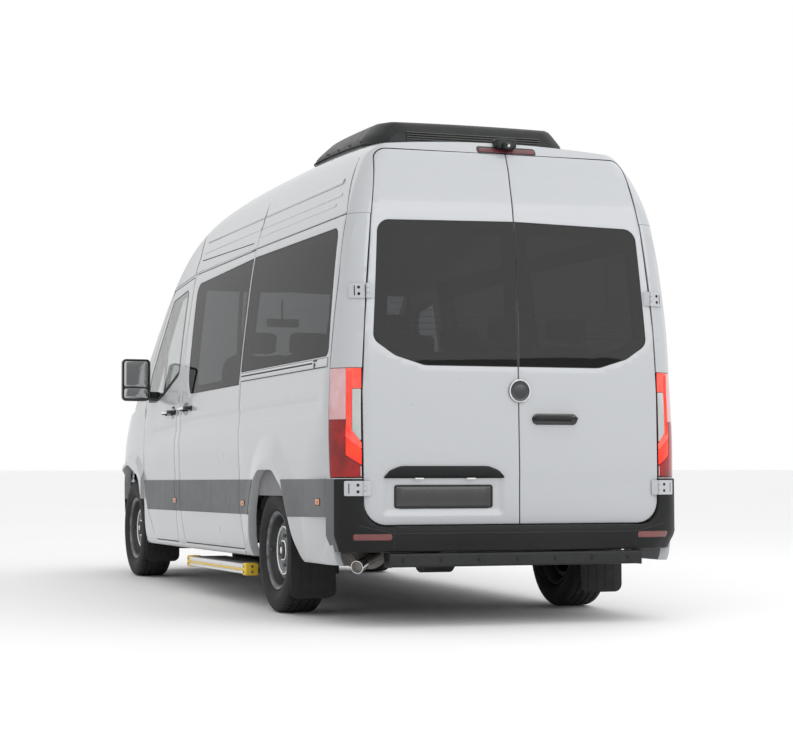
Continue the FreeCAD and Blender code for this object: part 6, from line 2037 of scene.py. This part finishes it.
@dataclass
class Cabin:
    """Seats, lining, floor, steering wheel, dash fittings, mirror and grab rails."""

    def build(self) -> None:
        """Everything seen through the glass."""
        self.seats()
        self.lining()
        self.steering()
        self.dash()
        rails = Draft()
        for y in (-705.0, 705.0):
            path = [(-2560, y * 1.14, 1420), (-2560, y, 1434), (-2560, y, 1480), (-2560, y, 1900),
                    (-2560, y, 1946), (-2560, y * 1.1, 1960)]
            rails.join(rod(spline_path(path, 8), 14, 14))
        path = [(300, 640, 700), (300, 640, 1300), (300, 620, 1900), (300, 600, 2140)]
        rails.join(rod(spline_path(path, 6), 15, 14))
        put("grab_rails", rails, Look.BRIGHT, "chassis")

    def seats(self) -> None:
        """Eleven padded places in four rows, on steel frames."""
        frames = Draft()
        first = True
        for row, x, places, high in SEAT_ROWS:
            cushions, backs, heads = Draft(), Draft(), Draft()
            for y, wide in places:
                cushions.join(pad((x + 235, y, 1032), (470, wide, 130), 2.0, (-0.55, 0.55)))
                size = (high - 1030, wide - 6, 120)
                backs.join(pad((x - 18, y, (high + 1045) / 2), size, 101.0, (-0.55, 0.55)))
                heads.join(pad((x - 96, y, high + 82), (146, 250, 92), 100.0, (), 0.02))
                for shift in (-55.0, 55.0):
                    frames.join(rod([(x - 72, y + shift, high - 40), (x - 88, y + shift, high + 50)], 7, 10))
                half = wide / 2
                frames.join(slab_block((x + 20, y - half + 24, 940), (x + 440, y + half - 24, 974), 10))
                for dx in (60.0, 400.0):
                    for dy in (-half + 60, half - 60):
                        reach = min(max(y + dy, -640.0), 640.0)
                        frames.join(rod([(x + dx, reach, 643), (x + dx, reach, 950)], 15, 12))
                hoop = [(x - 70, y - half + 30, 990), (x - 118, y - half + 40, high - 60),
                        (x - 122, y, high - 30), (x - 118, y + half - 40, high - 60),
                        (x - 70, y + half - 30, 990)]
                frames.join(rod(spline_path(hoop, 8), 10, 10))
            for name, draft, fill in (("cushions", cushions, 0.8), ("backs", backs, 0.8),
                                      ("headrests", heads, 0.9)):
                made = put("seat_%s_%s" % (name, row), draft, Look.CLOTH, "chassis",
                           ["seats"] if first else (), sharp=80)
                first = False
        put("seat_frames", frames, Look.DARK_STEEL, "chassis")

    def lining(self) -> None:
        """Wall lining with rounded window openings, the floor covering and the cabin mirror."""
        holes = [grown(SLIDER_GLASS, -38), grown(QUARTER_GLASS, -38)]
        shape = [(455, 660, 10), (455, 2120, 30), (-2640, 2120, 30), (-2700, 1400, 30), (-2700, 830, 20),
                 (-2305, 830, 20), (-2305, 660, 10)]
        wall = sheet(shape, SideSkin(-51.5), 5.0, 1.5, holes, 60, 40)
        put("cabin_wall_lining", wall.both_sides(), Look.LINING, "chassis")
        mat = sheet(oblong(-2760, -620, 1340, 620, 10), level(643.5), 3.0, 1.0, (), 120, 80)
        put("floor_covering", mat, Look.FLOOR, "chassis")
        mirror = slab_block((1228, -70, 1848), (1254, 170, 1910), 12)
        mirror.join(rod(spline_path([(1250, 50, 1895), (1262, 50, 1960), (1252, 50, 2040)], 4), 8, 10))
        put("cabin_mirror", mirror, Look.BLACK, "chassis")

    def steering(self) -> None:
        """The rim, three spokes, pad and column of the steering wheel."""
        lean = math.radians(62)
        hub = np.array([1285.0, -430.0, 1140.0])
        axis = np.array([-math.sin(lean), 0.0, math.cos(lean)])
        over = np.array([math.cos(lean), 0.0, math.sin(lean)])
        turn = np.linspace(0, 2 * math.pi, 17)
        ring = np.column_stack([14.5 * np.sin(turn), 190 + 14.5 * np.cos(turn)])
        made = lathe(ring, hub, axis, 72)
        made.join(lathe([(-20, 0), (-20, 52), (-4, 66), (10, 62), (20, 40), (24, 0)], hub, axis, 40))
        made.join(rod([hub - axis * 6, hub - axis * 69], 21, 20))
        for angle in (0.0, 120.0, 240.0):
            way = over * math.cos(math.radians(angle)) + np.array([0, 1.0, 0]) * math.sin(math.radians(angle))
            path = np.array([hub + way * r - axis * d for r, d in ((44, 4), (90, 7), (140, 4), (184, 0))])
            made.join(rod(path, 15, 12, 0.55))
        put("steering_wheel_rim", made, Look.TRIM, "steering_wheel", ["steering_wheel"], sharp=60)

    def dash(self) -> None:
        """Instrument hood, screens and vents on the dashboard."""
        hood = slab_block((1405, -590, 1215), (1560, -270, 1300), 34)
        hood.join(slab_block((1396, -130, 1120), (1440, 130, 1262), 14))
        put("dash_hood", hood, Look.TRIM, "chassis")
        screens = slab_block((1391, -112, 1136), (1398, 112, 1250), 3)
        screens.join(slab_block((1400, -555, 1232), (1407, -305, 1288), 3))
        put("dash_screens", screens, Look.GLOSS, "chassis")
        vents = Draft()
        for y in (-760.0, -205.0, 205.0, 760.0):
            for k in range(5):
                vents.join(slab_block((1358, y - 60, 1095 + k * 16), (1368, y + 60, 1102 + k * 16), 3))
        put("dash_vents", vents, Look.GLOSS, "chassis")


class Studio:
    """The plain pale floor, soft lights and the camera at the photograph's place."""

    eye = (-12.894, 4.226, 0.901)
    yaw = math.radians(-19.61)
    pitch = math.radians(2.22)
    roll = math.radians(0.13)
    lens = 92.96

    def camera(self) -> None:
        """The camera: forward by yaw and pitch, its right axis rolled a little."""
        ahead = Vector((math.cos(self.pitch) * math.cos(self.yaw), math.cos(self.pitch) * math.sin(self.yaw),
                        math.sin(self.pitch)))
        right = ahead.cross(Vector((0, 0, 1))).normalized()
        up = right.cross(ahead)
        side = right * math.cos(self.roll) + up * math.sin(self.roll)
        top = side.cross(ahead)
        data = bpy.data.cameras.new("photo_camera")
        data.lens = self.lens
        data.sensor_width = 36.0
        data.clip_end = 400.0
        eye = bpy.data.objects.new("photo_camera", data)
        eye.matrix_world = Matrix((
            (side.x, top.x, -ahead.x, self.eye[0]), (side.y, top.y, -ahead.y, self.eye[1]),
            (side.z, top.z, -ahead.z, self.eye[2]), (0, 0, 0, 1),
        ))
        bpy.context.scene.collection.objects.link(eye)
        bpy.context.scene.camera = eye

    def floor(self) -> None:
        """A wide pale floor, a grid of two parameters in the plane of the wheels."""
        reach = np.linspace(-90, 90, 7)
        x, y = np.meshgrid(reach, reach, indexing="ij")
        mesh = bpy.data.meshes.new("studio_floor")
        mesh.from_pydata(np.stack([x, y, 0 * x], -1).reshape(-1, 3).tolist(), [], grid_faces(7, 7).tolist())
        ground = bpy.data.objects.new("studio_floor", mesh)
        bpy.context.scene.collection.objects.link(ground)
        finish = Finish("pale_floor", (0.90, 0.90, 0.90), (0.89, 0.89, 0.892), (0.6, 0.7), 0.4, 220, 0.00003,
                        specular=0.1)
        mesh.materials.append(finish.build())

    def light(self, name: str, place: Sequence[float], aim: Sequence[float], size: tuple[float, float],
              power: float) -> None:
        """One soft rectangular light."""
        data = bpy.data.lights.new(name, "AREA")
        data.shape = "RECTANGLE"
        data.size, data.size_y = size
        data.energy = power
        lamp = bpy.data.objects.new(name, data)
        lamp.location = place
        lamp.rotation_euler = (Vector(aim) - Vector(place)).to_track_quat("-Z", "Y").to_euler()
        bpy.context.scene.collection.objects.link(lamp)

    def build(self) -> None:
        """The whole studio."""
        world = bpy.data.worlds.new("studio")
        world.use_nodes = True
        back = world.node_tree.nodes["Background"]
        back.inputs["Color"].default_value = (1.0, 1.0, 1.0, 1.0)
        back.inputs["Strength"].default_value = 1.0
        bpy.context.scene.world = world
        bpy.context.scene.view_settings.view_transform = "Standard"
        self.camera()
        self.floor()
        self.light("top_light", (-4.0, -3.0, 8.0), (-1.5, 0, 1.0), (12, 8), 190)
        self.light("rear_light", (-11.0, -3.5, 5.0), (-2.5, 0, 1.2), (6, 5), 190)
        self.light("left_light", (-2.0, 9.0, 5.0), (-0.5, 0, 1.2), (10, 4), 4)


CARRIED = {"cab_glass_left": Look.CLEAR, "cab_glass_right": Look.CLEAR, "side_windows": Look.TINT,
           "rear_glass_left": Look.DARK_TINT, "rear_glass_right": Look.DARK_TINT, "roof": Look.PAINT,
           "windscreen": Look.CLEAR, "windscreen_frame": Look.PAINT, "front_bumper": Look.BUMPER,
           "headlamps": Look.HEAD_LENS, "grille": Look.BLACK, "bonnet": Look.PAINT, "front_wings": Look.PAINT,
           "cowl": Look.BLACK, "floor_pan": Look.DARK_STEEL, "engine_block": Look.ENGINE,
           "underride_bar": Look.BLACK, "step_housing": Look.DARK_STEEL, "rear_axle": Look.CAST,
           "front_suspension": Look.CAST, "knuckle_left": Look.CAST, "knuckle_right": Look.CAST,
           "exhaust": Look.EXHAUST, "dashboard": Look.TRIM}


def corners(box: tuple[Vector, Vector]) -> list[list[float]]:
    """A box as two plain lists of numbers."""
    return [[float(value) for value in corner] for corner in box]


def main() -> None:
    """Loads the frame, sets up the studio, dresses the carried-over nodes and builds every sub-assembly in
    order.
    """
    logging.basicConfig(level=logging.INFO, format="%(message)s")
    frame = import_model()
    Studio().build()
    for name, look in CARRIED.items():
        dress(frame, name, look)
    for part in (BodySides(), CabDoors(), RearDoors(), SideTrim(), RearLamps(), RearEnd(), DoorFittings(),
                 RoofUnit(), Mirrors(), Wheels(), Step(), Front(frame), Cabin()):
        part.build()
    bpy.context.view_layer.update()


if __name__ == "__main__":
    main()
